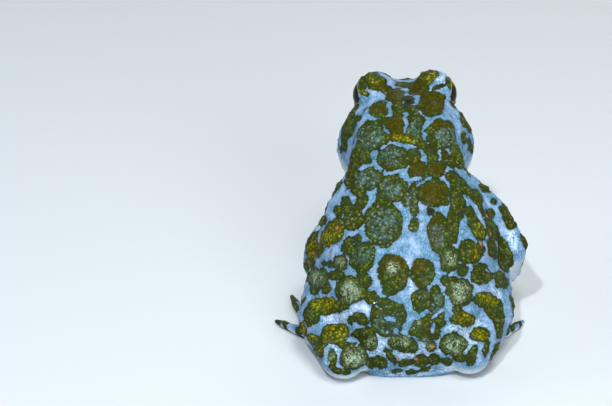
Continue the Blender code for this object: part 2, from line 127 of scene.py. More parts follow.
# The left eye, the bulge of skin round it as radii and a shift from the eye, and the brow as balls
EYE = (7.4, 52.2, 41.2)
EYE_RADIUS = 3.95
LID_RADII = (4.7, 5.5, 4.7)
LID_SHIFT = (-1.2, -0.3, 0.5)
BROW = ((6.4, 55.4, 41.2, 2.4), (4.6, 58.8, 40.4, 2.2), (3.2, 61.6, 38.8, 2.0))
# The gland behind it as balls (across, ahead, radius) that stand this far out of the back
GLAND = ((6.6, 40.4, 3.0), (7.9, 37.4, 3.6), (9.0, 34.2, 3.5), (10.2, 31.2, 2.8))
GLAND_PROUD = 1.7
# The back over a gland is looked for in this many steps a section, by a ray from this far outside
SEARCH_STEPS = 8
RAY_START = 30.0

# Opening between the lids in degrees from a line of sight: its reach, how square its outline is, how wide
# its edge is, how near the edge the mesh is finest, and where outside it warts are full and gone
GAZE = Vector((0.95, 0.22, 0.14)).normalized()
LID_OPEN_AHEAD = 56.0
LID_OPEN_BACK = 68.0
LID_OPEN_UP = 38.0
LID_OPEN_DOWN = 34.0
LID_CORNER = 3.0
LID_EDGE = 5.0
LID_FINEST = 8.0
LID_BARE = (18.0, 10.0)
# Distances from the eye's middle of the lids' ball and of the skin hidden in the opening, and the lids' least
# thickness over the eyeball
LID_OUTER = 4.15
LID_INNER = 3.5
LID_THICKNESS = 0.12
# How far outside the lids' ball the skin is shaped and its mesh is fine, and where the bare lids end
LID_REACH = 3.4
LID_FINE = 1.4
LID_WARTS = (1.6, 0.8)

# A rim outside the opening and a fold outside the rim: height, and the ridge's place and width in degrees
LID_RIM, LID_RIM_AT = 0.13, (5.0, 3.5)
LID_FOLD, LID_FOLD_AT = 0.22, (14.0, 3.5)

# The mouth runs from this section to the snout's tip, at these angles on the sections
MOUTH_CORNER = 10.7
MOUTH_ANGLES = (-20.0, -4.0)
MOUTH_STEPS = 24
MOUTH_FINE = 1.1
# Cuts and ridges in the face: depth or height, and then the place and width of each; the shades are painted
# shade along the mouth and in the nostrils. Warts begin and are full at two distances, and at a share of the
# clear distance for the nostrils
MOUTH_CUT, MOUTH_CUT_AT = 0.80, (0.0, 0.32)
MOUTH_SHADE, MOUTH_SHADE_AT = 0.95, (0.0, 0.36)
LIP, LIP_AT = 0.20, (0.85, 0.40)
MOUTH_WARTS = (0.9, 1.8)
NOSTRIL = (2.7, 63.6, 39.6)
NOSTRIL_SHAPE = (1.1, 0.8, 1.0)
NOSTRIL_DEPTH = 0.95
NOSTRIL_SLOPE = (0.62, 0.22)
NOSTRIL_RIM, NOSTRIL_RIM_AT = 0.18, (0.85, 0.32)
NOSTRIL_SHADE = (0.62, 0.34)
NOSTRIL_CLEAR = 1.6
NOSTRIL_SPLITS = 2
NOSTRIL_WARTS = 0.6
NOSTRIL_BARE = 0.9
EARDRUM = (14.0, 47.4, 36.8)
EARDRUM_RADIUS = 1.7
EARDRUM_DEPTH = 0.3
EARDRUM_SLOPE = 0.5
EARDRUM_RIM, EARDRUM_RIM_AT = 0.2, (0.25, 0.3)
EARDRUM_SHADE = 0.1
EARDRUM_WARTS = (0.2, 1.0)
SOLE_WARTS = (1.2, 2.8)

# The pale underside's edges: on the flank, at the vent, beside and under a limb, and by the skin's slope
FLANK_SLOPE = 0.77
FLANK_EDGE = (1.5, -2.5)
VENT_EDGE = (2.0, 12.0)
LIMB_EDGE = (1.2, 0.2)
LIMB_UNDER = (0.15, 0.65)
SLOPE_EDGE = (0.35, -0.25)

# What the photo's camera sees: how squarely the skin faces it, how many millimetres off the skin a ray
# towards it starts, and how many metres the ray reaches
SEEN_FACING = 0.12
SEEN_START = 0.5
SEEN_REACH = 0.12

# Voxels in millimetres and rounds of smoothing for the body, the digits and then the whole skin
SOFTENING = 0.5
BODY_VOXEL = 0.6
BODY_SMOOTHING = 9
DIGIT_VOXEL = 0.3
DIGIT_SMOOTHING = 2
SKIN_VOXEL = 0.41
SKIN_SMOOTHING = 4

# Patches that the photo shows, in its pixels: middle x and y, width, height and turn in degrees
PATCHES = (
    (374, 80, 24, 15, 26), (362, 92, 12, 4, 8), (427, 76, 25, 15, -28), (438, 87, 9, 3, -15),
    (386, 91, 15, 6, 14), (396, 92, 12, 6, 0), (414, 86, 9, 9, -20), (421, 88, 13, 6, -12),
    (378, 108, 17, 19, 0), (373, 112, 8, 8, 0), (432, 103, 24, 28, 15), (394, 98, 14, 9, 5),
    (408, 99, 10, 6, 0), (407, 107, 8, 7, 0), (419, 93, 20, 4, 8), (398, 110, 10, 14, 0),
    (393, 121, 24, 10, -8), (397, 129, 14, 17, 0), (400, 138, 17, 10, 0), (415, 110, 12, 10, 0),
    (416, 119, 14, 17, 0), (414, 131, 14, 16, 0), (414, 140, 15, 8, 10), (424, 148, 12, 10, 20),
    (373, 136, 33, 28, 0), (362, 146, 12, 14, 15), (365, 156, 14, 18, 10), (442, 134, 32, 28, 0),
    (455, 149, 8, 21, -5), (453, 161, 7, 12, 0), (433, 154, 10, 15, 0), (445, 159, 6, 16, 0),
    (436, 169, 18, 18, 0), (351, 114, 6, 27, 25), (358, 118, 5, 5, 0), (349, 127, 9, 20, 22),
    (344, 141, 7, 18, 3), (354, 157, 8, 15, -5), (356, 164, 5, 6, 0), (457, 106, 4, 20, -33),
    (464, 119, 6, 19, -20), (463, 138, 4, 10, 0), (471, 129, 5, 6, 0), (471, 149, 5, 7, 0),
    (468, 142, 3, 6, 0), (461, 159, 10, 17, 5), (456, 159, 3, 3, 0), (393, 158, 31, 23, 0),
    (414, 156, 12, 14, 0), (418, 171, 17, 17, 0), (367, 178, 29, 22, 0), (350, 170, 7, 13, 0),
    (348, 182, 6, 10, 0), (358, 189, 13, 13, 20), (374, 171, 14, 8, 10), (392, 188, 27, 25, 0),
    (381, 198, 8, 9, 0), (407, 199, 9, 13, 0), (414, 189, 8, 10, 0), (414, 202, 7, 16, 0),
    (414, 209, 7, 13, 0), (414, 225, 8, 12, 0), (434, 193, 28, 27, 0), (446, 202, 7, 7, 0),
    (457, 191, 12, 33, -3), (452, 177, 8, 10, 0), (459, 204, 11, 14, 0), (468, 191, 7, 26, -28),
    (477, 206, 6, 19, -35), (347, 206, 9, 17, -15), (362, 202, 9, 18, 20), (353, 218, 17, 22, 5),
    (342, 224, 8, 9, 0), (338, 211, 6, 9, 5), (383, 224, 37, 44, 0), (438, 233, 18, 37, 0),
    (452, 227, 12, 33, 0), (456, 212, 11, 17, 0), (449, 258, 19, 24, 0), (443, 249, 8, 11, 0),
    (430, 211, 5, 4, 20), (476, 224, 13, 31, -27), (469, 212, 8, 9, 0), (471, 250, 24, 24, 0),
    (492, 229, 9, 23, -32), (348, 246, 10, 17, 8), (358, 239, 4, 5, 0), (362, 257, 24, 26, 0),
    (366, 247, 9, 7, 0), (340, 263, 13, 13, 0), (327, 264, 9, 5, -8), (462, 268, 9, 7, -10),
    (481, 266, 12, 4, 0), (485, 187, 12, 7, 30), (490, 213, 8, 9, 0), (478, 197, 7, 12, -30),
    (494, 201, 4, 4, 0), (331, 236, 24, 17, -36), (335, 223, 14, 7, -30), (317, 278, 18, 18, 0),
    (314, 290, 8, 7, -30), (326, 288, 6, 7, 0), (335, 275, 14, 8, 0), (350, 290, 30, 26, -10),
    (364, 278, 10, 16, -20), (342, 304, 10, 10, 0), (324, 306, 27, 17, 0), (312, 314, 14, 21, 15),
    (334, 308, 10, 9, 0), (295, 308, 7, 8, 0), (290, 296, 7, 6, 0), (284, 319, 7, 4, 0),
    (296, 317, 10, 4, 0), (302, 330, 8, 11, -8), (313, 339, 12, 8, 15), (334, 334, 26, 19, -12),
    (343, 328, 8, 7, 0), (322, 342, 8, 10, 0), (319, 350, 8, 12, -10), (360, 319, 13, 9, 30),
    (352, 320, 6, 6, 20), (369, 339, 14, 22, -25), (362, 336, 11, 12, 0), (356, 334, 6, 6, 0),
    (369, 297, 8, 11, -10), (376, 296, 7, 8, 30), (354, 357, 27, 25, 0), (344, 346, 12, 6, 10),
    (333, 357, 6, 14, -15), (333, 366, 6, 7, 0), (341, 372, 14, 6, 15), (380, 362, 13, 9, 30),
    (371, 363, 6, 8, 0), (391, 356, 7, 14, -35), (388, 316, 34, 38, 0), (393, 273, 29, 35, 0),
    (391, 290, 12, 12, 0), (422, 273, 22, 26, 0), (422, 302, 15, 24, 10), (415, 297, 8, 9, 0),
    (437, 298, 12, 24, -8), (437, 309, 11, 8, 0), (422, 327, 19, 21, 15), (428, 320, 9, 11, 0),
    (414, 330, 8, 11, 0), (425, 338, 9, 8, 0), (439, 320, 10, 17, 15), (436, 332, 7, 11, 5),
    (403, 344, 28, 14, 14), (460, 292, 25, 26, 0), (449, 281, 12, 12, 0), (457, 309, 8, 6, 0),
    (482, 276, 18, 16, 0), (463, 270, 9, 8, 0), (485, 300, 20, 13, 0), (494, 309, 15, 19, -25),
    (499, 320, 10, 16, -10), (499, 330, 7, 12, 10), (464, 319, 22, 13, 10), (454, 320, 8, 4, 0),
    (479, 335, 18, 12, 0), (453, 345, 26, 22, 0), (459, 357, 12, 6, 0), (472, 356, 8, 17, 18),
    (486, 349, 5, 15, 10), (445, 362, 11, 6, 20), (502, 256, 16, 33, -8), (498, 276, 11, 6, 0),
    (500, 282, 9, 11, 0), (506, 282, 5, 6, 0), (421, 361, 12, 11, 0), (434, 360, 8, 10, 0),
    (406, 363, 13, 6, 5), (431, 346, 7, 9, 0), (322, 221, 8, 8, 0), (314, 243, 13, 25, 20),
    (310, 262, 9, 18, 5), (318, 250, 10, 12, 0), (508, 216, 10, 17, -20), (503, 208, 6, 6, 0),
    (511, 224, 9, 8, 0), (492, 248, 8, 17, -10), (507, 259, 8, 18, -10), (387, 87, 8, 4, 10),
    (403, 85, 12, 4, 5), (397, 370, 8, 3, 0), (411, 372, 8, 3, 0), (425, 370, 8, 3, -10),
)
# Pale islands and channels in the patches
HOLES = (
    (391, 319, 16, 8, 10), (396, 331, 8, 10, -20), (422, 314, 24, 6, -42), (440, 313, 23, 6, -37),
    (433, 328, 6, 16, 0), (409, 314, 6, 44, 0), (382, 294, 20, 6, 30), (397, 300, 22, 6, 13),
    (477, 212, 46, 6, 61), (470, 236, 26, 7, 40), (374, 154, 12, 6, -45), (383, 147, 14, 6, -27),
    (397, 144, 18, 6, 0), (411, 146, 14, 6, 22), (422, 153, 14, 6, 45), (364, 167, 19, 6, -24),
    (378, 168, 15, 6, 40), (390, 173, 15, 6, 7), (404, 177, 13, 6, 27), (416, 178, 16, 6, -14),
    (405, 124, 5, 26, 0), (386, 130, 17, 5, 58), (420, 112, 15, 5, 58), (425, 134, 9, 8, 30),
    (440, 152, 7, 9, 0), (488, 272, 7, 6, 10), (377, 306, 6, 6, 0), (387, 319, 8, 4, 18),
    (394, 320, 7, 4, -8), (389, 329, 4, 4, 20), (356, 345, 7, 6, 0), (388, 331, 6, 5, 0),
)
# Where the photo's patches are golden, brown or bluish green, and where a pale green painted sheen lies on
# them
GOLD_MARKS = (
    (372, 80, 13, 7, 26), (432, 77, 13, 7, -28), (362, 92, 12, 5, 8), (324, 303, 31, 15, 0),
    (337, 333, 27, 19, -12), (319, 350, 9, 13, -10), (312, 339, 13, 10, 15), (302, 329, 9, 12, 0),
    (487, 299, 22, 13, 15), (464, 319, 22, 13, 10), (479, 335, 18, 12, 0), (330, 236, 30, 22, -36),
    (314, 250, 14, 24, 20), (480, 230, 12, 16, -27), (475, 250, 11, 17, 0), (405, 138, 34, 7, 0),
    (320, 222, 9, 9, 0), (373, 329, 10, 8, 0), (464, 132, 5, 18, -18), (294, 308, 8, 8, 0),
)
BROWN_MARKS = (
    (396, 126, 24, 24, 0), (432, 104, 24, 24, 0), (394, 97, 16, 10, 5), (418, 93, 24, 6, 8),
    (435, 230, 13, 30, 0), (393, 262, 22, 20, 0), (419, 266, 17, 16, 0), (434, 193, 24, 22, 0),
    (436, 169, 16, 15, 0), (418, 168, 14, 14, 0), (378, 107, 16, 15, 0), (443, 125, 24, 14, 0),
    (430, 211, 5, 4, 20), (380, 86, 14, 10, 20), (420, 84, 14, 10, -20),
)
# Painted sheen: where a soft reflection lies pale green on the patches
PAINTED_SHEEN_MARKS = (
    (354, 357, 25, 22, 0), (454, 345, 24, 20, 0), (351, 291, 22, 22, 0), (460, 291, 20, 22, 0),
    (317, 278, 16, 16, 0), (392, 268, 12, 12, 0), (340, 263, 12, 12, 0), (449, 258, 14, 14, 0),
    (398, 340, 24, 12, 0), (425, 345, 20, 12, 0), (375, 345, 16, 18, 0), (413, 322, 14, 18, 0),
    (330, 350, 12, 20, 0),
)
TEAL_MARKS = (
    (383, 226, 30, 34, 0), (370, 137, 28, 22, 0), (448, 138, 24, 20, 0), (392, 158, 26, 18, 0),
    (367, 180, 24, 18, 0), (391, 188, 20, 18, 0), (411, 200, 12, 18, 0), (415, 130, 12, 16, 0),
    (437, 236, 12, 20, 0), (388, 322, 26, 20, 0), (437, 305, 14, 20, 0), (362, 256, 18, 18, 0),
)
# Where the photo's ground is nearly white (mostly painted light where light falls brightest, partly its own
# pale colour), where its patches are black, and where its ground is dim
LIT_AND_PALE_MARKS = (
    (346, 316, 52, 18, -16), (374, 346, 28, 40, -20), (330, 352, 16, 28, 0), (414, 352, 50, 18, 0),
    (466, 331, 44, 30, 12), (470, 345, 14, 30, 10), (444, 366, 26, 12, 10), (360, 374, 40, 8, 10),
    (410, 372, 50, 9, 0), (414, 290, 10, 30, 0), (505, 200, 16, 46, -20), (512, 232, 10, 40, 0),
    (367, 88, 24, 8, 12), (443, 82, 14, 14, 0), (330, 180, 8, 30, 0), (432, 350, 40, 8, 0),
    (496, 290, 10, 30, 0), (316, 232, 8, 30, 20),
)
DARK_MARKS = (
    (408, 99, 10, 6, 0), (408, 104, 6, 5, 0), (430, 211, 5, 4, 20), (438, 87, 9, 2, -15),
)
DIM_MARKS = (
    (405, 118, 62, 28, 0), (350, 140, 16, 34, 0), (466, 140, 16, 34, 0),
)
# Each set of marks becomes an attribute of that name: the bright marks are mostly painted light, and the
# sheen marks painted sheen
MARKS = {
    "gold": GOLD_MARKS, "brown": BROWN_MARKS, "painted_sheen": PAINTED_SHEEN_MARKS, "teal": TEAL_MARKS,
    "bright": LIT_AND_PALE_MARKS, "ink": DARK_MARKS, "dim": DIM_MARKS,
}
MARK_EDGE = (0.5, -0.5)
# A mark's reach through the skin as a share of its half length, and how softly neighbours join
PATCH_DEPTH = 1.1
PATCH_BLEND = 0.35
# A distance that stands for no mark nearby
FAR = 9.0
# Marks get uneven edges from two random shifts: size of their features and how far they reach
UNEVEN = ((1.7, 0.38), (0.8, 0.16))
# How far a patch swells up in its middle, and the depth, place and width of the shallow groove round it
PATCH_RISE = 0.55
PATCH_DOME = (0.2, -2.6)
PATCH_GROOVE, GROOVE_AT = 0.10, (0.15, 0.35)
# Patches out of the photo's sight: their gap from the photo's own, the underside's share, and the noise
# and its least value where the belly has spots
ADDED_GAP = 1.6
UPPER_LIMIT = 0.35
LOWER_LIMIT = 0.6
BELLY_REGION = (8.0, -0.15)
# Least radius, how much larger they get, how rare the large ones are, the gap between them, and the tries
UPPER_PATCHES = (0.7, 1.6, 1.4, 0.9, 2600)
BELLY_SPOTS = (0.25, 0.5, 2.0, 2.4, 260)
FLANK_WARTS = (0.4, 0.0, 1.0, 3.2, 500)
# How far they are drawn out one way, and how softly they join their neighbours
STRETCH = 0.5
ADDED_BLEND = 0.3
# Larger ones have lobes: from which radius, how far off and how large each is
LOBED_FROM = 1.3
LOBE_SHIFT = 0.95
LOBE_SHARE = 0.68
SPREAD_SEED = 11
# Warts: spacing, radius as a share of half the spacing, height as a share of the radius
LARGE_WARTS = {"Spacing": 1.45 * MM, "Least": 0.55, "Height": 0.52, "Seed": 3, "Mark": "large"}
SMALL_WARTS = {"Spacing": 0.85 * MM, "Least": 0.5, "Height": 0.40, "Seed": 8, "Mark": "small"}
WART_CROWDING = 4.0e6
WART_FULLNESS = 1.15
# Large warts crowd inside the patches and are few on the ground, and small ones keep clear of them
WARTY_FROM = -0.2
GROUND_WARTS = 0.16
SMALL_CLEAR = (0.1, 0.5)
UNDERSIDE_LOSS = 0.4
# Small orange-red warts out of the photo's sight: how far ahead, how low and on what share of underside
RED_FOREMOST = 43.0
RED_LOWEST = 6.0
RED_FLANK = (0.15, 0.6)
# The ones that the photo shows, in its pixels
RED_WARTS = (
    (331, 256), (337, 228), (331, 246), (314, 253), (490, 234), (481, 244), (488, 255), (487, 216),
    (398, 360), (416, 359), (432, 347), (310, 262),
)


# Places, lumps and lofts


def at(across, ahead, up):
    """A place on the toad's axes, as a point of the model in metres."""
    return Vector((across - MIDDLE_ACROSS, MIDDLE_AHEAD - ahead, up)) * MM


def toad_axes(points):
    """Model points in metres as rows of (across, ahead, up) in millimetres."""
    points = np.asarray(points) / MM
    return np.stack((points[:, 0] + MIDDLE_ACROSS, MIDDLE_AHEAD - points[:, 1], points[:, 2]), axis=1)


def model_axes(places):
    """Rows of (across, ahead, up) along the model's axes, still in millimetres."""
    return (places - (MIDDLE_ACROSS, MIDDLE_AHEAD, 0)) * TURNED


def on_side(place, sign):
    """A place on the left side, or its mirror image where the sign is negative."""
    return (place[0] * sign, *place[1:])


def mirrored(balls, side):
    return [on_side(ball, SIDES[side]) for ball in balls]


def ball_points(centre, radii, fineness=3):
    bm = bmesh.new()
    bmesh.ops.create_icosphere(bm, subdivisions=fineness, radius=1.0)
    across, ahead, up = radii
    points = [
        at(centre[0] + across * v.co.x, centre[1] - ahead * v.co.y, centre[2] + up * v.co.z)
        for v in bm.verts
    ]
    bm.free()
    return points


def add_hull(bm, points):
    verts = [bm.verts.new(p) for p in points]
    made = bmesh.ops.convex_hull(bm, input=verts)
    inside = made["geom_interior"] + made["geom_unused"]
    spare = {part for part in inside if isinstance(part, bmesh.types.BMVert)}
    bmesh.ops.delete(bm, geom=list(spare), context="VERTS")


def add_chain(bm, balls, fineness=3):
    """Adds tapered lengths from each ball (across, ahead, up, radius) to the next."""
    clouds = [ball_points(b[:3], (b[3],) * 3, fineness) for b in balls]
    for first, second in zip(clouds, clouds[1:]):
        add_hull(bm, first + second)


def mesh_object(name, bm):
    bmesh.ops.recalc_face_normals(bm, faces=bm.faces)
    mesh = bpy.data.meshes.new(name)
    bm.to_mesh(mesh)
    bm.free()
    obj = bpy.data.objects.new(name, mesh)
    bpy.context.scene.collection.objects.link(obj)
    return obj


def applied(obj):
    graph = bpy.context.evaluated_depsgraph_get()
    mesh = bpy.data.meshes.new_from_object(obj.evaluated_get(graph))
    obj.modifiers.clear()
    old = obj.data
    obj.data = mesh
    bpy.data.meshes.remove(old)
    return obj


def fused(obj, voxel, smoothing):
    """Melts overlapping lumps into one skin and softens it."""
    melt = obj.modifiers.new("melt", "REMESH")
    melt.mode = "VOXEL"
    melt.voxel_size = voxel * MM
    soften = obj.modifiers.new("soften", "SMOOTH")
    soften.factor = SOFTENING
    soften.iterations = smoothing
    return applied(obj)


def joined(name, objs):
    bm = bmesh.new()
    for obj in objs:
        bm.from_mesh(obj.data)
        bpy.data.objects.remove(obj)
    return mesh_object(name, bm)


def blended(values, place):
    """The value at a place between the sections, on a smooth curve through them."""
    last = len(values) - 1
    i = min(int(place), last - 1)
    f = place - i
    before, a, b, after = (values[max(0, min(last, k))] for k in (i - 1, i, i + 1, i + 2))
    slope, bend, twist = b - before, 2 * before - 5 * a + 4 * b - after, 3 * (a - b) + after - before
    return 0.5 * (2 * a + slope * f + bend * f**2 + twist * f**3)


def section_at(place):
    back = Vector(blended([Vector(s[1]) for s in SECTIONS], place))
    belly = Vector(blended([Vector(s[2]) for s in SECTIONS], place))
    return back, belly, blended([s[3] for s in SECTIONS], place), blended([s[4] for s in SECTIONS], place)


def on_section(place, angle):
    """A section's point at an angle in degrees, 0 at the left and 90 on the back, on the toad's axes."""
    back, belly, half_width, widest = section_at(place)
    c, s = math.cos(math.radians(angle)), math.sin(math.radians(angle))
    power = 2.0 / SQUARENESS
    reach = (1 - widest) if s > 0 else widest
    middle = belly.lerp(back, widest + reach * math.copysign(abs(s) ** power, s))
    return half_width * math.copysign(abs(c) ** power, c), middle.x, middle.y


def add_trunk(bm):
    rings = []
    for i in range((len(SECTIONS) - 1) * RINGS_PER_SECTION + 1):
        angles = [360.0 * k / RING_POINTS for k in range(RING_POINTS)]
        rings.append([bm.verts.new(at(*on_section(i / RINGS_PER_SECTION, a))) for a in angles])
    for ring, following in zip(rings, rings[1:]):
        for k in range(RING_POINTS):
            n = (k + 1) % RING_POINTS
            bm.faces.new((ring[k], ring[n], following[n], following[k]))
    bm.faces.new(reversed(rings[0]))
    bm.faces.new(rings[-1])


def trunk_tree():
    bm = bmesh.new()
    add_trunk(bm)
    bmesh.ops.recalc_face_normals(bm, faces=bm.faces)
    tree = BVHTree.FromBMesh(bm)
    bm.free()
    return tree


def under_back(tree, across, ahead, depth):
    """A point this deep under the skin of the back, as (across, ahead, up)."""
    places = (k / SEARCH_STEPS for k in range(SEARCH_STEPS * (len(SECTIONS) - 1)))
    place = min(places, key=lambda p: abs(section_at(p)[0].x - ahead))
    back, belly = section_at(place)[:2]
    down = (belly - back).normalized()
    start = at(across, back.x - RAY_START * down.x, back.y - RAY_START * down.y)
    hit, normal = tree.ray_cast(start, Vector((0, -down.x, down.y)))[:2]
    return toad_axes([hit - normal * depth * MM])[0]


# Node helpers


class Value:
    """The output of a node, which Python's own operators turn into Math nodes."""

    def __init__(self, nodes, socket):
        self.nodes = nodes
        self.socket = socket

    def math(self, operation, *others):
        return self.nodes.node("ShaderNodeMath", {"operation": operation}, dict(enumerate(others)))

    def __add__(self, other):
        return self.math("ADD", self, other)

    def __sub__(self, other):
        return self.math("SUBTRACT", self, other)

    def __rsub__(self, other):
        return self.math("SUBTRACT", other, self)

    def __mul__(self, other):
        return self.math("MULTIPLY", self, other)

    def __truediv__(self, other):
        return self.math("DIVIDE", self, other)

    def __pow__(self, other):
        return self.math("POWER", self, other)

    def __abs__(self):
        return self.math("ABSOLUTE", self)

    __radd__ = __add__
    __rmul__ = __mul__

    def most(self, other):
        return self.math("MAXIMUM", self, other)

    def step(self, low, high):
        """0 at low, 1 at high and smooth between them; low may be the greater of the two."""
        if low > high:
            return 1 - self.step(high, low)
        settings = {"interpolation_type": "SMOOTHSTEP"}
        inputs = {"Value": self, "From Min": low, "From Max": high}
        return self.nodes.node("ShaderNodeMapRange", settings, inputs)


class Nodes:
    """A node tree and the ways to add to it."""

    def __init__(self, tree):
        self.tree = tree

    def node(self, kind, settings=None, inputs=None, output=0):
        made = self.tree.nodes.new(kind)
        for key, value in (settings or {}).items():
            setattr(made, key, value)
        for key, value in (inputs or {}).items():
            self.plug(made.inputs[key], value)
        return Value(self, made.outputs[output])

    def plug(self, socket, value):
        if isinstance(value, Value):
            self.tree.links.new(value.socket, socket)
        else:
            socket.default_value = value


# Hands and feet


def digit(root, length, heading, radius):
    """A finger or toe as balls that arch down to its tip, thicker at its joints."""
    c, s = math.cos(math.radians(heading)), math.sin(math.radians(heading))
    balls = [(*root, radius)]
    for share, up, swell in (*JOINTS, (1.0, TIP_UP, TIP_RADIUS / radius)):
        balls.append((root[0] + length * share * s, root[1] + length * share * c, up, radius * swell))
    return balls


def hand_chains(side):
    wrist = WRIST[side]
    turn = math.radians(PALM_TURN[side])
    palm = (wrist[0] + PALM_LENGTH * math.sin(turn), wrist[1] + PALM_LENGTH * math.cos(turn), PALM_UP)
    fingers = [digit(palm, length, PALM_TURN[side] + spread, radius) for length, spread, radius in FINGERS]
    return [[(*wrist, WRIST_RADIUS), (*palm, PALM_RADIUS)], *fingers]


def foot_chains(side):
    sole = SOLE[side]
    toes = [digit(sole, length, SOLE_TURN[side] + spread, radius) for length, spread, radius in TOES]
    return [[(*HEEL[side], HEEL_RADIUS), (*sole, SOLE_RADIUS)], *toes]


def add_web(bm, toe, following, side):
    corners = [toe[0][:2]]
    for balls in (toe, following):
        corners.append(Vector(balls[0][:2]).lerp(Vector(balls[-1][:2]), WEB_SHARE))
    half = WEB_THICK / 2
    add_hull(bm, [at(x * SIDES[side], y, WEB_UP + z) for x, y in corners for z in (-half, half)])


def digits(side):
    bm = bmesh.new()
    feet = foot_chains(side)
    for chain in hand_chains(side) + feet:
        add_chain(bm, mirrored(chain, side), fineness=2)
    for toe, following in zip(feet[1:], feet[2:]):
        add_web(bm, toe, following, side)
    return fused(mesh_object(f"digits_{side}", bm), DIGIT_VOXEL, DIGIT_SMOOTHING)


def flesh():
    """The toad's body with no detail, as one fine mesh."""
    bm = bmesh.new()
    add_trunk(bm)
    tree = trunk_tree()
    for side, sign in SIDES.items():
        glands = [(*under_back(tree, a * sign, t, r - GLAND_PROUD), r) for a, t, r in GLAND]
        add_chain(bm, glands)
        centre = [EYE[i] + LID_SHIFT[i] for i in range(3)]
        add_hull(bm, ball_points(on_side(centre, sign), LID_RADII))
        for chain in (BROW, THIGH, SHANK[side], UPPER_ARM[side], FOREARM[side]):
            add_chain(bm, mirrored(chain, side))
    body = fused(mesh_object("body", bm), BODY_VOXEL, BODY_SMOOTHING)
    bm = bmesh.new()
    for sign in SIDES.values():
        add_hull(bm, ball_points(on_side(EYE, sign), (LID_OUTER,) * 3))
    lids = mesh_object("lids", bm)
    whole = joined("skin", [body, lids, *(digits(side) for side in SIDES)])
    return fused(whole, SKIN_VOXEL, SKIN_SMOOTHING)


# Work on the skin's vertices


class Noise:
    """Smooth random fields in space, between -1 and 1."""

    SIDE = 32

    def __init__(self, seed):
        self.table = np.random.default_rng(seed).random((self.SIDE,) * 3) * 2 - 1

    def at(self, points, size):
        p = points / size
        low = np.floor(p).astype(int)
        f = p - low
        f = f * f * (3 - 2 * f)
        total = np.zeros(len(points))
        for corner in np.ndindex(2, 2, 2):
            weight = np.prod(np.where(corner, f, 1 - f), axis=1)
            x, y, z = ((low + corner) % self.SIDE).T
            total += weight * self.table[x, y, z]
        return total


WARPS = tuple(Noise(seed) for seed in (21, 22, 23))


def smooth_step(low, high, values):
    share = np.clip((values - low) / (high - low), 0, 1)
    return share * share * (3 - 2 * share)


def ridge(distance, place, width):
    """1 at this place, fading to 0 on both sides of it."""
    return np.exp(-(((distance - place) / width) ** 2))


def uneven(places):
    """Places moved about a little, so that marks round them get uneven edges."""
    shifts = [sum(warp.at(places, size) * reach for size, reach in UNEVEN) for warp in WARPS]
    return places + np.stack(shifts, 1)


def distance_to_line(points, line):
    """Each point's distance to a line of points."""
    best = np.full(len(points), np.inf)
    line = np.asarray(line, float)
    for a, b in zip(line, line[1:]):
        along = b - a
        share = np.clip((points - a) @ along / (along @ along), 0, 1)
        best = np.minimum(best, np.linalg.norm(points - a - share[:, None] * along, axis=1))
    return best


class Skin:
    """A mesh with its vertices on the toad's axes in millimetres."""

    def __init__(self, obj):
        self.obj = obj
        self.read()

    def read(self):
        mesh = self.obj.data
        co = np.empty(len(mesh.vertices) * 3)
        mesh.vertices.foreach_get("co", co)
        self.places = toad_axes(co.reshape(-1, 3))
        normals = np.empty(len(mesh.vertices) * 3)
        mesh.vertices.foreach_get("normal", normals)
        self.normals = normals.reshape(-1, 3) * TURNED

    def write(self):
        model = model_axes(self.places) * MM
        self.obj.data.vertices.foreach_set("co", model.ravel())
        self.obj.data.update()
        self.read()

    def lift(self, heights):
        self.places += self.normals * heights[:, None]
        self.write()

    def note(self, name, values):
        layer = self.obj.data.attributes.new(name, "FLOAT", "POINT")
        layer.data.foreach_set("value", values.astype(np.float32))

    def noted(self, name):
        values = np.empty(len(self.places))
        self.obj.data.attributes[name].data.foreach_get("value", values)
        return values

    def refine(self, wanted):
        """Splits each edge between two of the wanted vertices."""
        bm = bmesh.new()
        bm.from_mesh(self.obj.data)
        bm.verts.ensure_lookup_table()
        edges = [e for e in bm.edges if wanted[e.verts[0].index] and wanted[e.verts[1].index]]
        bmesh.ops.subdivide_edges(bm, edges=edges, cuts=1, use_grid_fill=True, smooth=0.0)
        bmesh.ops.triangulate(bm, faces=[f for f in bm.faces if len(f.verts) > 4])
        bm.to_mesh(self.obj.data)
        bm.free()
        self.read()

    def tree(self):
        bm = bmesh.new()
        bm.from_mesh(self.obj.data)
        tree = BVHTree.FromBMesh(bm)
        bm.free()
        return tree

    def snapped(self, tree, points):
        """The skin's nearest points to these places, on the toad's axes."""
        return toad_axes([tree.find_nearest(at(*p))[0] for p in points])


def from_eye(places, sign):
    """Places from the eyeball's centre, those of the right eye mirrored to the left."""
    return (places - on_side(EYE, sign)) * (sign, 1, 1)


def sight_axes(sight):
    """A line of sight and the two directions square to it: level ahead, and up."""
    sight = np.array(sight)
    ahead = np.cross((0, 0, 1), sight)
    ahead /= np.linalg.norm(ahead)
    return sight, ahead, np.cross(sight, ahead)


def eye_angles(places, sign):
    """Distance from the eyeball's centre, and the angles ahead and up from the lids' line of sight."""
    offset = from_eye(places, sign)
    gaze, ahead, up = sight_axes(GAZE)
    turn, rise = (np.degrees(np.arctan2(offset @ axis, offset @ gaze)) for axis in (ahead, up))
    return np.linalg.norm(offset, axis=1), turn, rise


def outside_lids(turn, rise):
    """Degrees outside the opening between the lids, below zero inside it."""
    side = np.where(turn > 0, LID_OPEN_AHEAD, LID_OPEN_BACK)
    span = np.clip(1 - np.abs(turn / side) ** LID_CORNER, 0, 1) ** (1 / LID_CORNER)
    over = np.abs(rise) - np.where(rise > 0, LID_OPEN_UP, LID_OPEN_DOWN) * span
    return np.where(np.abs(turn) > side, np.hypot(np.abs(turn) - side, rise), over)


def refine_lids(skin):
    """Makes the mesh finer round the eyes, and finest along the lids' edges."""
    for sign in SIDES.values():
        skin.refine(eye_angles(skin.places, sign)[0] < LID_OUTER + LID_FINE)
        reach, turn, rise = eye_angles(skin.places, sign)
        skin.refine((reach < LID_OUTER + LID_FINE) & (np.abs(outside_lids(turn, rise)) < LID_FINEST))


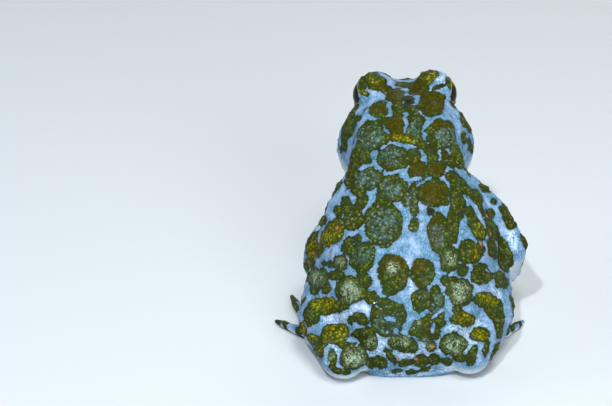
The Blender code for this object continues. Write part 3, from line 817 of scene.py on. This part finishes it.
def open_lids(skin):
    """Presses the skin between the lids back into the eyeball, and gives the lids a rim and a fold."""
    rims = np.zeros(len(skin.places))
    for sign in SIDES.values():
        reach, turn, rise = eye_angles(skin.places, sign)
        near = reach < LID_OUTER + LID_REACH
        outside = outside_lids(turn, rise)
        opened = smooth_step(LID_EDGE / 2, -LID_EDGE / 2, outside) * near
        rim = ridge(outside, *LID_RIM_AT) * near
        fold = ridge(outside, *LID_FOLD_AT) * near
        lid = reach + LID_RIM * rim - LID_FOLD * fold
        lid = np.where(near, np.maximum(lid, EYE_RADIUS + LID_THICKNESS), lid)
        target = lid + (LID_INNER - lid) * opened
        centre = np.array(on_side(EYE, sign))
        skin.places = centre + (skin.places - centre) * (target / np.maximum(reach, TINY))[:, None]
        rims = np.maximum(rims, rim)
    skin.write()
    skin.note("rims", rims)


def mouth_line(skin, tree):
    half = []
    for k in range(MOUTH_STEPS + 1):
        share = k / MOUTH_STEPS
        place = MOUTH_CORNER + (len(SECTIONS) - 1 - MOUTH_CORNER) * share
        half.append(on_section(place, MOUTH_ANGLES[0] + (MOUTH_ANGLES[1] - MOUTH_ANGLES[0]) * share))
    return skin.snapped(tree, half + [on_side(p, -1) for p in reversed(half)])


def from_pair(skin, tree, place, scale=(1, 1, 1)):
    """Distance to the nearer of two mirrored places on the skin."""
    pair = skin.snapped(tree, [on_side(place, sign) for sign in SIDES.values()])
    return np.linalg.norm((skin.places[:, None] - pair) * scale, axis=2).min(axis=1)


def face_lines(skin):
    """Cuts the mouth, nostrils and eardrums into the skin, and returns how much painted shade each vertex
    gets along the mouth and in the nostrils.
    """
    tree = skin.tree()
    mouth = mouth_line(skin, tree)
    skin.refine(distance_to_line(skin.places, mouth) < MOUTH_FINE)
    for _ in range(NOSTRIL_SPLITS):
        skin.refine(from_pair(skin, tree, NOSTRIL) < NOSTRIL_CLEAR)
    near = distance_to_line(skin.places, mouth)
    lift = LIP * ridge(near, *LIP_AT) - MOUTH_CUT * ridge(near, *MOUTH_CUT_AT)
    dark = MOUTH_SHADE * ridge(near, *MOUTH_SHADE_AT)
    near = from_pair(skin, tree, NOSTRIL, NOSTRIL_SHAPE)
    lift += NOSTRIL_RIM * ridge(near, *NOSTRIL_RIM_AT) - NOSTRIL_DEPTH * smooth_step(*NOSTRIL_SLOPE, near)
    dark = np.maximum(dark, smooth_step(*NOSTRIL_SHADE, near))
    near = from_pair(skin, tree, EARDRUM)
    floor = EARDRUM_RADIUS - EARDRUM_SLOPE
    lift -= EARDRUM_DEPTH * smooth_step(EARDRUM_RADIUS, floor, near)
    lift += EARDRUM_RIM * ridge(near - EARDRUM_RADIUS, *EARDRUM_RIM_AT)
    skin.note("ear", smooth_step(EARDRUM_RADIUS + EARDRUM_SHADE, floor, near))
    skin.lift(lift)
    return dark


# Marks on the skin


class PhotoCamera:
    """The photo's camera on the toad's own model: which ray each of its pixels looks along."""

    def __init__(self):
        down = math.radians(LOOK_DOWN)
        sight = Vector((0, -math.cos(down), -math.sin(down)))
        pixel = self.ray_of(*RUMP_PIXEL)
        self.place = at(0, 0, 0) - sight * RUMP_DEPTH * pixel.length * MM
        pixel = Matrix.Rotation(math.radians(CAMERA_ROLL), 3, "Z") @ pixel.normalized()
        tilt = math.atan2(pixel.y, pixel.z) - math.acos(sight.z / math.hypot(pixel.y, pixel.z))
        leaned = Matrix.Rotation(tilt, 3, "X") @ pixel
        heading = math.atan2(sight.y, sight.x) - math.atan2(leaned.y, leaned.x)
        turns = (Matrix.Rotation(heading, 3, "Z"), Matrix.Rotation(tilt, 3, "X"))
        self.turn = turns[0] @ turns[1] @ Matrix.Rotation(math.radians(CAMERA_ROLL), 3, "Z")

    def ray_of(self, x, y):
        """A pixel's direction in the camera's own axes, one unit deep."""
        return Vector(((x - FRAME_WIDTH / 2) / FOCAL_PIXELS, (FRAME_HEIGHT / 2 - y) / FOCAL_PIXELS, -1.0))

    def cast(self, tree, x, y):
        """Where a pixel's ray meets the skin and the skin's slope there, on the toad's axes, or None."""
        ray = (self.turn @ self.ray_of(x, y)).normalized()
        hit, normal = tree.ray_cast(self.place, ray)[:2]
        return None if hit is None else (toad_axes([hit])[0], np.array(normal) * TURNED)

    def pixels(self, places):
        """The x and y of the pixels that show these places, and how many millimetres one pixel is there."""
        seen = (model_axes(places) * MM - np.array(self.place)) @ np.array(self.turn)
        depth = -seen[:, 2]
        x = FRAME_WIDTH / 2 + FOCAL_PIXELS * seen[:, 0] / depth
        y = FRAME_HEIGHT / 2 - FOCAL_PIXELS * seen[:, 1] / depth
        return x, y, depth / MM / FOCAL_PIXELS

    def add(self):
        data = bpy.data.cameras.new("camera")
        data.sensor_width = SENSOR_WIDTH
        data.lens = SENSOR_WIDTH * FOCAL_PIXELS / FRAME_WIDTH
        data.clip_start = CLIP_START
        camera = bpy.data.objects.new("camera", data)
        camera.matrix_world = Matrix.Translation(self.place) @ self.turn.to_4x4()
        bpy.context.scene.collection.objects.link(camera)
        bpy.context.scene.camera = camera


def soft_least(a, b, reach):
    """The lesser of two distances, rounded where they are nearly equal."""
    share = np.clip(0.5 + 0.5 * (b - a) / reach, 0, 1)
    return b + (a - b) * share - reach * share * (1 - share)


def flank_height(places):
    """How far above the flank's widest line a place lies, below zero on the belly and throat."""
    widest = [tuple(Vector(belly).lerp(Vector(back), share)) for _, back, belly, _, share in SECTIONS]
    ahead, up = zip(*widest)
    return FLANK_SLOPE * (places[:, 2] - np.interp(places[:, 1], ahead, up))


def under_limb(places, side):
    """Distance to the nearest limb's surface, and how far down from its middle as a share of its radius."""
    best = np.full(len(places), np.inf)
    under = np.zeros(len(places))
    for chain in (THIGH, SHANK[side], UPPER_ARM[side], FOREARM[side]):
        line = np.array(mirrored(chain, side))
        for a, b in zip(line, line[1:]):
            along = b[:3] - a[:3]
            share = np.clip((places - a[:3]) @ along / (along @ along), 0, 1)
            middle = a[:3] + share[:, None] * along
            radius = a[3] + share * (b[3] - a[3])
            gap = np.linalg.norm(places - middle, axis=1) - radius
            nearer = gap < best
            best = np.where(nearer, gap, best)
            under = np.where(nearer, (middle - places)[:, 2] / radius, under)
    return best, under


def pale_underside(skin):
    """How far each vertex belongs to the pale underside, from 0 to 1."""
    pale = smooth_step(*FLANK_EDGE, flank_height(skin.places)) * smooth_step(*VENT_EDGE, skin.places[:, 1])
    for side in SIDES:
        gap, under = under_limb(skin.places, side)
        on_limb = smooth_step(*LIMB_EDGE, gap)
        pale = pale * (1 - on_limb) + smooth_step(*LIMB_UNDER, under) * on_limb
    return pale * smooth_step(*SLOPE_EDGE, skin.normals[:, 2])


def seen_by(camera, skin):
    """Which vertices the photo shows."""
    model = model_axes(skin.places)
    to_camera = np.array(camera.place) / MM - model
    to_camera /= np.linalg.norm(to_camera, axis=1)[:, None]
    facing = np.einsum("ij,ij->i", to_camera, skin.normals * TURNED)
    tree = skin.tree()
    shown = facing > SEEN_FACING
    for i in np.flatnonzero(shown):
        start = Vector(model[i] * MM) + Vector(to_camera[i]) * SEEN_START * MM
        if tree.ray_cast(start, Vector(to_camera[i]), SEEN_REACH)[0] is not None:
            shown[i] = False
    return shown


def photo_patches(tree, camera, places, rows):
    """Distance to the edge of the nearest of the photo's marks, below zero inside it."""
    x, y, scale = camera.pixels(places)
    nearest = np.full(len(places), FAR)
    for middle_x, middle_y, width, height, turn in rows:
        found = camera.cast(tree, middle_x, middle_y)
        if found is None:
            continue
        middle, normal = found
        c, s = math.cos(math.radians(turn)), math.sin(math.radians(turn))
        u = ((x - middle_x) * c + (y - middle_y) * s) * 2 / width
        v = ((y - middle_y) * c - (x - middle_x) * s) * 2 / height
        longest = max(width, height) / 2 * scale
        off = (places - middle) @ normal / (PATCH_DEPTH * longest)
        q = np.sqrt(u**2 + v**2 + off**2)
        size = math.sqrt(width * height) / 2 * scale
        nearest = soft_least(nearest, (q - 1) * size, PATCH_BLEND)
    return nearest


def scattered(skin, rng, allowed, spread):
    """Round spots over the allowed vertices, as (vertex, radius), none nearer to another than the gap."""
    least, more, rarity, gap, tries = spread
    chosen = []
    candidates = rng.choice(np.flatnonzero(allowed), size=min(tries, int(allowed.sum())), replace=False)
    places = np.empty((len(candidates), 3))
    radii = np.empty(len(candidates))
    for vertex in candidates:
        place = skin.places[vertex]
        radius = least + more * rng.random() ** rarity if more else least
        n = len(chosen)
        if n:
            clear = np.linalg.norm(places[:n] - place, axis=1) - radii[:n] - radius
            if clear.min() < gap:
                continue
        places[n], radii[n] = place, radius
        chosen.append((vertex, radius))
    return chosen


def added_patches(skin, patch, shown, underside, warped, rng):
    """The patches where the photo doesn't show the skin: large on the upper side, few and small below."""
    free = ~shown & (patch > ADDED_GAP)
    upper = scattered(skin, rng, free & (underside < UPPER_LIMIT), UPPER_PATCHES)
    size, least = BELLY_REGION
    below = free & (underside > LOWER_LIMIT) & (WARPS[0].at(skin.places, size) > least)
    for vertex, radius in upper + scattered(skin, rng, below, BELLY_SPOTS):
        middle = skin.places[vertex]
        for _ in range(1 + (radius > LOBED_FROM) * int(rng.integers(1, 3))):
            stretch = rng.normal(size=3)
            stretch /= np.linalg.norm(stretch)
            offset = warped - middle
            along = offset @ stretch
            q = np.sqrt(np.maximum((offset**2).sum(axis=1) - STRETCH * along**2, 0)) / radius
            patch = soft_least(patch, (q - 1) * radius, ADDED_BLEND)
            sideways = np.cross(skin.normals[vertex], stretch)
            middle = skin.places[vertex] + sideways / np.linalg.norm(sideways) * radius * LOBE_SHIFT
            radius *= LOBE_SHARE
    return patch


WART_INPUTS = {
    "Spacing": "Float", "Least": "Float", "Height": "Float", "Seed": "Int", "Mark": "String",
    "Look": "Material",
}


class Growth(Nodes):
    """A node tree that works on a mesh."""

    def named(self, name):
        return self.node("GeometryNodeInputNamedAttribute", {"data_type": "FLOAT"}, {"Name": name})

    def stored(self, mesh, name, value):
        settings = {"data_type": "FLOAT", "domain": "POINT"}
        inputs = {"Geometry": mesh, "Name": name, "Value": value}
        return self.node("GeometryNodeStoreNamedAttribute", settings, inputs)

    def sampled(self, kind, points, value, index):
        """What a value is at the point with this index."""
        inputs = {"Geometry": points, "Value": value, "Index": index}
        return self.node("GeometryNodeSampleIndex", {"data_type": kind}, inputs)


def wart_tree():
    """A node tree that spreads round warts over a mesh and raises its points into them."""
    tree = bpy.data.node_groups.new("warts", "GeometryNodeTree")
    nodes = Growth(tree)
    tree.interface.new_socket("Geometry", in_out="INPUT", socket_type="NodeSocketGeometry")
    tree.interface.new_socket("Geometry", in_out="OUTPUT", socket_type="NodeSocketGeometry")
    for name, kind in WART_INPUTS.items():
        tree.interface.new_socket(name, in_out="INPUT", socket_type=f"NodeSocket{kind}")
    group = tree.nodes.new("NodeGroupInput")
    given = {name: Value(nodes, group.outputs[name]) for name in ("Geometry", *WART_INPUTS)}
    skin = given["Geometry"]
    spread = {
        "Mesh": skin, "Distance Min": given["Spacing"], "Density Max": WART_CROWDING,
        "Density Factor": nodes.named("room"), "Seed": given["Seed"],
    }
    points = nodes.node("GeometryNodeDistributePointsOnFaces", {"distribute_method": "POISSON"}, spread)
    chance = nodes.node("FunctionNodeRandomValue", {"data_type": "FLOAT"}, {2: given["Least"], 3: 1.0}, 1)
    points = nodes.stored(points, "radius", chance * given["Spacing"] * 0.5)
    place = nodes.node("GeometryNodeInputPosition")
    nearest = {"Geometry": points, "Sample Position": place}
    nearest = nodes.node("GeometryNodeSampleNearest", {"domain": "POINT"}, nearest)
    radius = nodes.sampled("FLOAT", points, nodes.named("radius"), nearest)
    middle = nodes.sampled("FLOAT_VECTOR", points, place, nearest)
    away = nodes.node("ShaderNodeVectorMath", {"operation": "DISTANCE"}, {0: place, 1: middle}, "Value")
    share = away / radius
    dome = (1 - share * share).most(0.0) ** WART_FULLNESS
    lift = {0: nodes.node("GeometryNodeInputNormal"), "Scale": dome * radius * given["Height"]}
    lift = nodes.node("ShaderNodeVectorMath", {"operation": "SCALE"}, lift)
    raised = nodes.node("GeometryNodeSetPosition", None, {"Geometry": skin, "Offset": lift})
    marked = nodes.stored(raised, given["Mark"], dome)
    real = nodes.node("GeometryNodeRealizeInstances", None, {"Geometry": marked})
    finished = nodes.node("GeometryNodeSetMaterial", None, {"Geometry": real, "Material": given["Look"]})
    nodes.plug(tree.nodes.new("NodeGroupOutput").inputs[0], finished)
    return tree


def raise_warts(skin, tree, sizes, room, material):
    """Raises one kind of wart where the skin has room, and returns how far up a wart each vertex is."""
    skin.note("room", room)
    skin.obj.data.materials.clear()
    grow = skin.obj.modifiers.new("warts", "NODES")
    grow.node_group = tree
    sockets = {item.name: item.identifier for item in tree.interface.items_tree if item.in_out == "INPUT"}
    for name, value in {**sizes, "Look": material}.items():
        grow[sockets[name]] = value
    applied(skin.obj)
    skin.obj.data.attributes.remove(skin.obj.data.attributes["room"])
    skin.read()
    return skin.noted(sizes["Mark"])


def free_places(skin):
    """How free each vertex is to swell: 0 on lids, lips, nostrils, eardrums and soles, and 1 elsewhere."""
    room = smooth_step(*SOLE_WARTS, skin.places[:, 2])
    for sign in SIDES.values():
        reach, turn, rise = eye_angles(skin.places, sign)
        near = smooth_step(*(LID_OUTER + gap for gap in LID_WARTS), reach)
        room *= 1 - near * smooth_step(*LID_BARE, outside_lids(turn, rise))
    tree = skin.tree()
    room *= smooth_step(*(EARDRUM_RADIUS + gap for gap in EARDRUM_WARTS), from_pair(skin, tree, EARDRUM))
    room *= smooth_step(NOSTRIL_CLEAR * NOSTRIL_WARTS, NOSTRIL_CLEAR, from_pair(skin, tree, NOSTRIL))
    return room * smooth_step(*MOUTH_WARTS, distance_to_line(skin.places, mouth_line(skin, tree)))


def red_marks(skin, camera, tree, rng, underside, shown):
    """Distance to the nearest orange-red wart."""
    spots = []
    for x, y in RED_WARTS:
        found = camera.cast(tree, x, y)
        if found is not None:
            spots.append(found[0])
    flank = ~shown & (underside > RED_FLANK[0]) & (underside < RED_FLANK[1])
    flank &= (skin.places[:, 1] < RED_FOREMOST) & (skin.places[:, 2] > RED_LOWEST)
    spots += [skin.places[vertex] for vertex, _ in scattered(skin, rng, flank, FLANK_WARTS)]
    best = np.full(len(skin.places), FAR)
    for spot in spots:
        best = np.minimum(best, np.linalg.norm(skin.places - spot, axis=1))
    return best


def mark_skin(skin, camera):
    """Notes every mark on the skin, and returns the underside and the distance to the patches' edges."""
    rng = np.random.default_rng(SPREAD_SEED)
    underside = pale_underside(skin)
    shown = seen_by(camera, skin)
    warped = uneven(skin.places)
    tree = skin.tree()
    patch = photo_patches(tree, camera, warped, PATCHES)
    patch = np.maximum(patch, -photo_patches(tree, camera, warped, HOLES))
    patch = added_patches(skin, patch, shown, underside, warped, rng)
    patch = np.maximum(patch, NOSTRIL_BARE - from_pair(skin, tree, NOSTRIL))
    skin.note("underside", underside)
    skin.note("patch", patch)
    skin.note("red", red_marks(skin, camera, tree, rng, underside, shown))
    for name, rows in MARKS.items():
        skin.note(name, smooth_step(*MARK_EDGE, photo_patches(tree, camera, warped, rows)))
    return underside, patch


def make_skin(camera, material):
    skin = Skin(flesh())
    refine_lids(skin)
    open_lids(skin)
    skin.note("dark", face_lines(skin))
    underside, patch = mark_skin(skin, camera)
    free = free_places(skin)
    domes = PATCH_RISE * smooth_step(*PATCH_DOME, patch) - PATCH_GROOVE * ridge(patch, *GROOVE_AT)
    skin.lift(domes * (1 - underside) * free)
    warts = wart_tree()
    room = free * (1 - underside) * np.where(patch < WARTY_FROM, 1.0, GROUND_WARTS)
    large = raise_warts(skin, warts, LARGE_WARTS, room, material)
    room = free * (1 - smooth_step(*SMALL_CLEAR, large)) * (1 - UNDERSIDE_LOSS * underside)
    raise_warts(skin, warts, SMALL_WARTS, room, material)
    skin.places[:, 2] = np.maximum(skin.places[:, 2], 0.0)
    skin.write()
    skin.obj.data.shade_smooth()
    return skin.obj


# Looks


class Look(Nodes):
    """One material and the nodes that it is made of."""

    def __init__(self, name, finish):
        self.material = bpy.data.materials.new(name)
        self.material.use_nodes = True
        super().__init__(self.material.node_tree)
        self.shader = self.tree.nodes["Principled BSDF"]
        for key, value in finish.items():
            self.set(key, value)

    def set(self, name, value):
        self.plug(self.shader.inputs[name], value)

    def place(self):
        return self.node("ShaderNodeTexCoord", output="Object")

    def attribute(self, name):
        return self.node("ShaderNodeAttribute", {"attribute_name": name}, output="Fac")

    def noise(self, place, size, detail=2.0, roughness=0.5):
        """Noise between 0 and 1 with features of about this size in millimetres."""
        inputs = {"Vector": place, "Scale": 1 / (size * MM), "Detail": detail, "Roughness": roughness}
        return self.node("ShaderNodeTexNoise", None, inputs)

    def colours(self, place, size):
        """A random direction that changes smoothly over this size in millimetres."""
        inputs = {"Vector": place, "Scale": 1 / (size * MM), "Detail": 1.0}
        noise = self.node("ShaderNodeTexNoise", None, inputs, output="Color")
        return self.node("ShaderNodeVectorMath", {"operation": "SUBTRACT"}, {0: noise, 1: (0.5, 0.5, 0.5)})

    def cells(self, place, size, output="Distance"):
        """Distance to the nearest of random points, about this far apart in millimetres, or its colour."""
        return self.node("ShaderNodeTexVoronoi", None, {"Vector": place, "Scale": 1 / (size * MM)}, output)

    def mix(self, share, first, second):
        """A colour between two colours."""
        inputs = {"Factor": share, 6: first, 7: second}
        return self.node("ShaderNodeMix", {"data_type": "RGBA"}, inputs, output=2)

    def bump(self, height, distance, strength):
        inputs = {"Height": height, "Distance": distance * MM, "Strength": strength}
        return self.node("ShaderNodeBump", None, inputs)


GROUND_PALE = (0.26, 0.46, 0.68, 1.0)
# Mostly painted light where light falls brightest on the ground, partly its own pale colour
GROUND_LIT_AND_PALE = (0.66, 0.83, 0.97, 1.0)
GROUND_LILAC = (0.36, 0.42, 0.66, 1.0)
# Darker ground for random dark stretches, the dim marks, and painted shade beside the raised patches
GROUND_SHADE = (0.08, 0.18, 0.28, 1.0)
OLIVE = (0.036, 0.042, 0.002, 1.0)
GOLD = (0.27, 0.25, 0.002, 1.0)
MOSS = (0.028, 0.054, 0.012, 1.0)
OLIVE_BRIGHT = (0.180, 0.205, 0.004, 1.0)
# Painted sheen on the patches
PAINTED_SHEEN = (0.46, 0.62, 0.44, 1.0)
# Dark outline of the patches, and painted shade in the gaps between grains
OUTLINE_AND_GAP_SHADE = (0.018, 0.026, 0.010, 1.0)
BROWN = (0.062, 0.048, 0.001, 1.0)
# Painted sheen on the middles of the domed patches
SHEEN_GREY_GREEN = (0.085, 0.140, 0.100, 1.0)
FLECK = (0.13, 0.28, 0.34, 1.0)
EAR_BROWN = (0.120, 0.125, 0.060, 1.0)
LID_PALE = (0.30, 0.34, 0.22, 1.0)
CREAM = (0.66, 0.72, 0.74, 1.0)
BELLY_SHADE = (0.44, 0.55, 0.66, 1.0)
CORAL = (0.54, 0.15, 0.10, 1.0)
# Black marks, and painted shade along the mouth and in the nostrils
INK_AND_SHADE = (0.012, 0.010, 0.010, 1.0)
EYE_DARK = (0.010, 0.008, 0.004, 1.0)
EYE_CORNER = (0.010, 0.008, 0.006, 1.0)
EYE_GOLD = (0.50, 0.36, 0.05, 1.0)
EYE_RING = (0.72, 0.52, 0.12, 1.0)
PUPIL_BLACK = (0.002, 0.002, 0.002, 1.0)


# Sizes in millimetres of the skin's noises, and of its grains, whose edges wobble
FINE, MIDDLE, BROAD = 0.5, 1.6, 4.0
GRAIN, GRANULE, BELLY_GRAIN = 0.62, 0.34, 0.9
WOBBLE_SIZE, WOBBLE_REACH = 1.1, 0.30
RELIEF, RELIEF_STRENGTH = 0.16, 0.9
SKIN_FINISH = {"Coat Weight": 0.07, "Coat Roughness": 0.09, "Specular IOR Level": 0.01}


def skin_grain(look, place):
    """Three sizes of noise, two sizes of round grains, and a random tone for each of the larger grains."""
    fine, middle = (look.noise(place, size, 3.0, 0.6) for size in (FINE, MIDDLE))
    broad = look.noise(place, BROAD)
    shift = {0: look.colours(place, WOBBLE_SIZE), "Scale": WOBBLE_REACH * MM}
    shift = look.node("ShaderNodeVectorMath", {"operation": "SCALE"}, shift)
    bent = look.node("ShaderNodeVectorMath", {"operation": "ADD"}, {0: place, 1: shift})
    grain = look.cells(bent, GRAIN).step(0.70, 0.12)
    granule = look.cells(bent, GRANULE).step(0.65, 0.10)
    tone = look.cells(bent, GRAIN, output="Color")
    return fine, middle, broad, grain, granule, tone


def ground_colour(look, grains, edge):
    """Pale blue with lilac stretches, mostly painted light where the ground is brightest, dark specks, and
    painted shade beside the raised patches.
    """
    fine, middle, broad, grain, granule, tone = grains
    pale = (middle * 0.5 + granule * 0.22 + grain * 0.12 + broad * 0.40).step(0.34, 0.80)
    # Mostly painted light where the bright marks are, partly the ground's own pale colour
    bright = look.attribute("bright") * (middle * 0.6 + granule * 0.3 + grain * 0.2).step(0.2, 0.7)
    colour = look.mix(pale, GROUND_SHADE, GROUND_PALE)
    colour = look.mix((broad * 0.6 + middle * 0.4).step(0.46, 0.62) * 0.55, colour, GROUND_LILAC)
    # Painted light, mostly, on the brightest ground
    colour = look.mix(bright * 0.8, colour, GROUND_LIT_AND_PALE)
    colour = look.mix(look.attribute("dim") * 0.30, colour, GROUND_SHADE)
    # Painted shade on the ground beside the raised patches
    colour = look.mix(edge.step(0.8, 0.0) * 0.45, colour, GROUND_SHADE)
    return look.mix((tone + fine - 1.30).step(0.0, 0.1) * grain * 0.7, colour, MOSS)


def patch_colour(look, grains, edge):
    """Green with lighter grains, flecks and a painted sheen on the middles, or golden, brown or bluish, or
    with a pale green painted sheen; a little painted light tops the large warts, and painted shade fills the
    gaps between grains.
    """
    fine, middle, broad, grain, granule, tone = grains
    gold, brown, painted_sheen, teal = map(look.attribute, ("gold", "brown", "painted_sheen", "teal"))
    plain = (1 - gold) * (1 - brown)
    centre = (edge * -1).step(0.4, 2.2)
    spot = (tone - 0.5) * grain
    # Mostly random tone; the tops of the large warts get a little painted light
    cover = middle * 0.45 + fine * 0.40 + spot * 0.60 + look.attribute("large") * 0.12 + grain * 0.12
    cover = cover.step(0.40, 0.80)
    # Painted sheen: the middles of the domed patches lighter and greyer
    centre_sheen = centre * plain * (middle * 0.6 + fine * 0.4).step(0.44, 0.66)
    # Painted sheen where the sheen marks are, strongest on the patches' middles
    sheen_share = painted_sheen * (centre * 0.7 + 0.3) * (middle * 0.7 + granule * 0.3).step(0.26, 0.60)
    golden = gold * (cover * 0.5 + spot * 0.35 + grain * 0.15 + 0.2).step(0.10, 0.60)
    flecks = (fine * 0.6 + tone * 0.4 - 0.55).step(0.0, 0.10) * grain
    flecked = plain * broad.step(0.50, 0.58) * 0.4
    rim = abs(edge + 0.16).step(0.30, 0.02) * 0.75
    colour = look.mix(broad.step(0.38, 0.60), MOSS, OLIVE)
    colour = look.mix(cover * 0.75, colour, OLIVE_BRIGHT)
    colour = look.mix(brown * (middle + fine * 0.4).step(0.40, 0.75) * 0.85, colour, BROWN)
    # Painted sheen on the patches' middles
    colour = look.mix(centre_sheen * 0.45, colour, SHEEN_GREY_GREEN)
    # Painted sheen where the sheen marks are
    colour = look.mix(sheen_share * 0.8, colour, PAINTED_SHEEN)
    colour = look.mix(golden * 0.9, colour, GOLD)
    colour = look.mix(flecks * flecked.most(teal * 0.75), colour, FLECK)
    colour = look.mix(teal * (fine * 0.5 + middle * 0.5).step(0.42, 0.66) * 0.45, colour, FLECK)
    # The patches' real dark outline, and painted shade in the gaps between the raised grains
    return look.mix(rim.most((1 - grain).step(0.6, 1.0) * 0.45), colour, OUTLINE_AND_GAP_SHADE)


def skin_look():
    look = Look("toad_skin_look", SKIN_FINISH)
    place = look.place()
    grains = skin_grain(look, place)
    fine, middle, _, grain, granule, _ = grains
    underside = look.attribute("underside")
    edge = look.attribute("patch") + (fine - 0.5) * 0.8 + (middle - 0.5) * 0.6 - 0.36
    inside = edge.step(0.10, -0.10)
    belly = look.mix(look.cells(place, BELLY_GRAIN).step(0.3, 0.8) * 0.6, CREAM, BELLY_SHADE)
    colour = look.mix(underside, ground_colour(look, grains, edge), belly)
    colour = look.mix(inside, colour, patch_colour(look, grains, edge))
    colour = look.mix(look.attribute("ink") * (fine + middle * 0.5).step(0.44, 0.70) * 0.95, colour, INK_AND_SHADE)
    colour = look.mix(look.attribute("rims") * 0.5, colour, LID_PALE)
    colour = look.mix(look.attribute("ear") * 0.65, colour, EAR_BROWN)
    colour = look.mix((look.attribute("red") + (fine - 0.5) * 0.3).step(0.58, 0.24) * 0.8, colour, CORAL)
    # Painted shade along the mouth and in the nostrils
    look.set("Base Color", look.mix(look.attribute("dark"), colour, INK_AND_SHADE))
    look.set("Roughness", 0.46 + (fine - 0.5) * 0.30 + underside * 0.1)
    relief = grain * (0.4 + inside * 0.5) + granule * 0.45 + fine * 0.5 + look.attribute("small") * 0.2
    look.set("Normal", look.bump(relief, RELIEF, RELIEF_STRENGTH))
    return look.material


# The iris: the direction of its middle, its reach and its edge's blur; the pupil's half width and height
IRIS_AXIS = Vector((0.92, 0.34, 0.12)).normalized()
IRIS_REACH = 0.90
IRIS_BLUR = 0.10
PUPIL = (0.44, 0.22)
EYE_SEGMENTS, EYE_RINGS = 64, 40
VEINS = 0.40
EYE_FINISH = {
    "Coat Weight": 0.5, "Coat IOR": 1.38, "Coat Roughness": 0.02, "Roughness": 0.3,
    "Specular IOR Level": 0.0,
}


def eye_look():
    """Gold with dark veins, a bright ring round the level black pupil, and a dark edge."""
    look = Look("toad_eye_look", EYE_FINISH)
    side, up = look.attribute("side"), look.attribute("up")
    veins = look.noise(look.place(), VEINS, 4.0, 0.75)
    reach = (side * side + up * up) ** 0.5
    lens = ((side / PUPIL[0]) ** 2 + (up / PUPIL[1]) ** 2) ** 0.5
    back = (side * -1).step(0.15, 0.95)
    front = (side - abs(up) * 1.4 - 0.45).step(0.0, 0.3)
    iris = look.mix((veins - (back * 0.30 + front * 0.12)).step(0.40, 0.56), EYE_DARK, EYE_GOLD)
    iris = look.mix(abs(lens + (veins - 0.5) * 0.25 - 1.12).step(0.11, 0.03), iris, EYE_RING)
    iris = look.mix((lens + (veins - 0.5) * 0.08).step(1.04, 0.98), iris, PUPIL_BLACK)
    edge = (reach + (veins - 0.5) * 0.3).step(IRIS_REACH - IRIS_BLUR, IRIS_REACH + IRIS_BLUR)
    look.set("Base Color", look.mix(edge, iris, EYE_CORNER))
    return look.material


def make_eye(side, material):
    """An eyeball, with each vertex's place beside and above the iris's middle noted on it."""
    sign = SIDES[side]
    bm = bmesh.new()
    size = EYE_RADIUS * MM
    bmesh.ops.create_uvsphere(bm, u_segments=EYE_SEGMENTS, v_segments=EYE_RINGS, radius=size)
    bmesh.ops.translate(bm, verts=bm.verts, vec=at(*on_side(EYE, sign)))
    eye = mesh_object(f"eyeball_{side}", bm)
    ball = Skin(eye)
    offset = from_eye(ball.places, sign) / EYE_RADIUS
    sight, ahead, up = sight_axes(IRIS_AXIS)
    for name, axis in (("side", ahead), ("up", up)):
        ball.note(name, np.where(offset @ sight > 0, offset @ axis, 1.0))
    eye.data.shade_smooth()
    eye.data.materials.append(material)
    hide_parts(f"eye_{side}")
    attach(eye, "root")


# Floor and light


FLOOR_REACH = 0.45
BEND = 0.95
BEND_STEPS = 24
WALL_TOP = 1.5
WALL_STEPS = 96
FLOOR_GREY = (0.60, 0.64, 0.67, 1.0)
MERGE = 0.01
# Lights on the model's axes: place, width, watts and colour
LIGHTS = {
    "key": ((-0.10, 0.22, 0.60), 0.22, 2.2, (1.0, 0.98, 0.95)),
    "glint": ((0.10, 0.34, 0.50), 0.03, 1.9, (0.9, 0.96, 1.0)),
    "back": ((-0.25, 0.52, 0.30), 0.30, 2.0, (0.95, 0.98, 1.0)),
    "fill": ((0.50, -0.10, 0.35), 0.40, 0.7, (0.9, 0.95, 1.0)),
    "front": ((-0.25, -1.00, 0.50), 0.70, 4.4, (1.0, 0.98, 0.95)),
}
LIGHTS_AIM = Vector((0, 0, 0.02))
SKY = (0.78, 0.88, 1.0, 1.0)
SKY_STRENGTH = 0.12


def backdrop():
    """A pale floor that curves up into a wall all round."""
    profile = [(0.0, 0.0), (FLOOR_REACH, 0.0)]
    for k in range(1, BEND_STEPS + 1):
        angle = math.pi / 2 * k / BEND_STEPS
        profile.append((FLOOR_REACH + BEND * math.sin(angle), BEND * (1 - math.cos(angle))))
    profile.append((FLOOR_REACH + BEND, WALL_TOP))
    bm = bmesh.new()
    verts = [bm.verts.new((x, 0, z)) for x, z in profile]
    edges = [bm.edges.new(pair) for pair in zip(verts, verts[1:])]
    turn = {"axis": (0, 0, 1), "cent": (0, 0, 0), "angle": 2 * math.pi, "steps": WALL_STEPS}
    bmesh.ops.spin(bm, geom=verts + edges, **turn)
    bmesh.ops.remove_doubles(bm, verts=bm.verts, dist=MERGE * MM)
    made = mesh_object("backdrop", bm)
    made.data.flip_normals()
    made.data.shade_smooth()
    made.data.materials.append(Look("backdrop_look", {"Base Color": FLOOR_GREY, "Roughness": 0.8}).material)


def softbox(name, place, size, watts, colour):
    data = bpy.data.lights.new(name, "AREA")
    data.size = size
    data.energy = watts
    data.color = colour
    made = bpy.data.objects.new(name, data)
    made.location = place
    made.rotation_euler = (LIGHTS_AIM - Vector(place)).to_track_quat("-Z", "Y").to_euler()
    bpy.context.scene.collection.objects.link(made)


def studio():
    backdrop()
    for name, light in LIGHTS.items():
        softbox(name, *light)
    world = bpy.data.worlds.new("studio")
    bpy.context.scene.world = world
    world.use_nodes = True
    sky = world.node_tree.nodes["Background"].inputs
    sky["Color"].default_value = SKY
    sky["Strength"].default_value = SKY_STRENGTH
    bpy.context.scene.view_settings.view_transform = "Standard"


def main():
    camera = PhotoCamera()
    skin = make_skin(camera, skin_look())
    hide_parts(*FLESH)
    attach(skin, "root")
    eye_material = eye_look()
    for side in SIDES:
        make_eye(side, eye_material)
    studio()
    camera.add()


main()
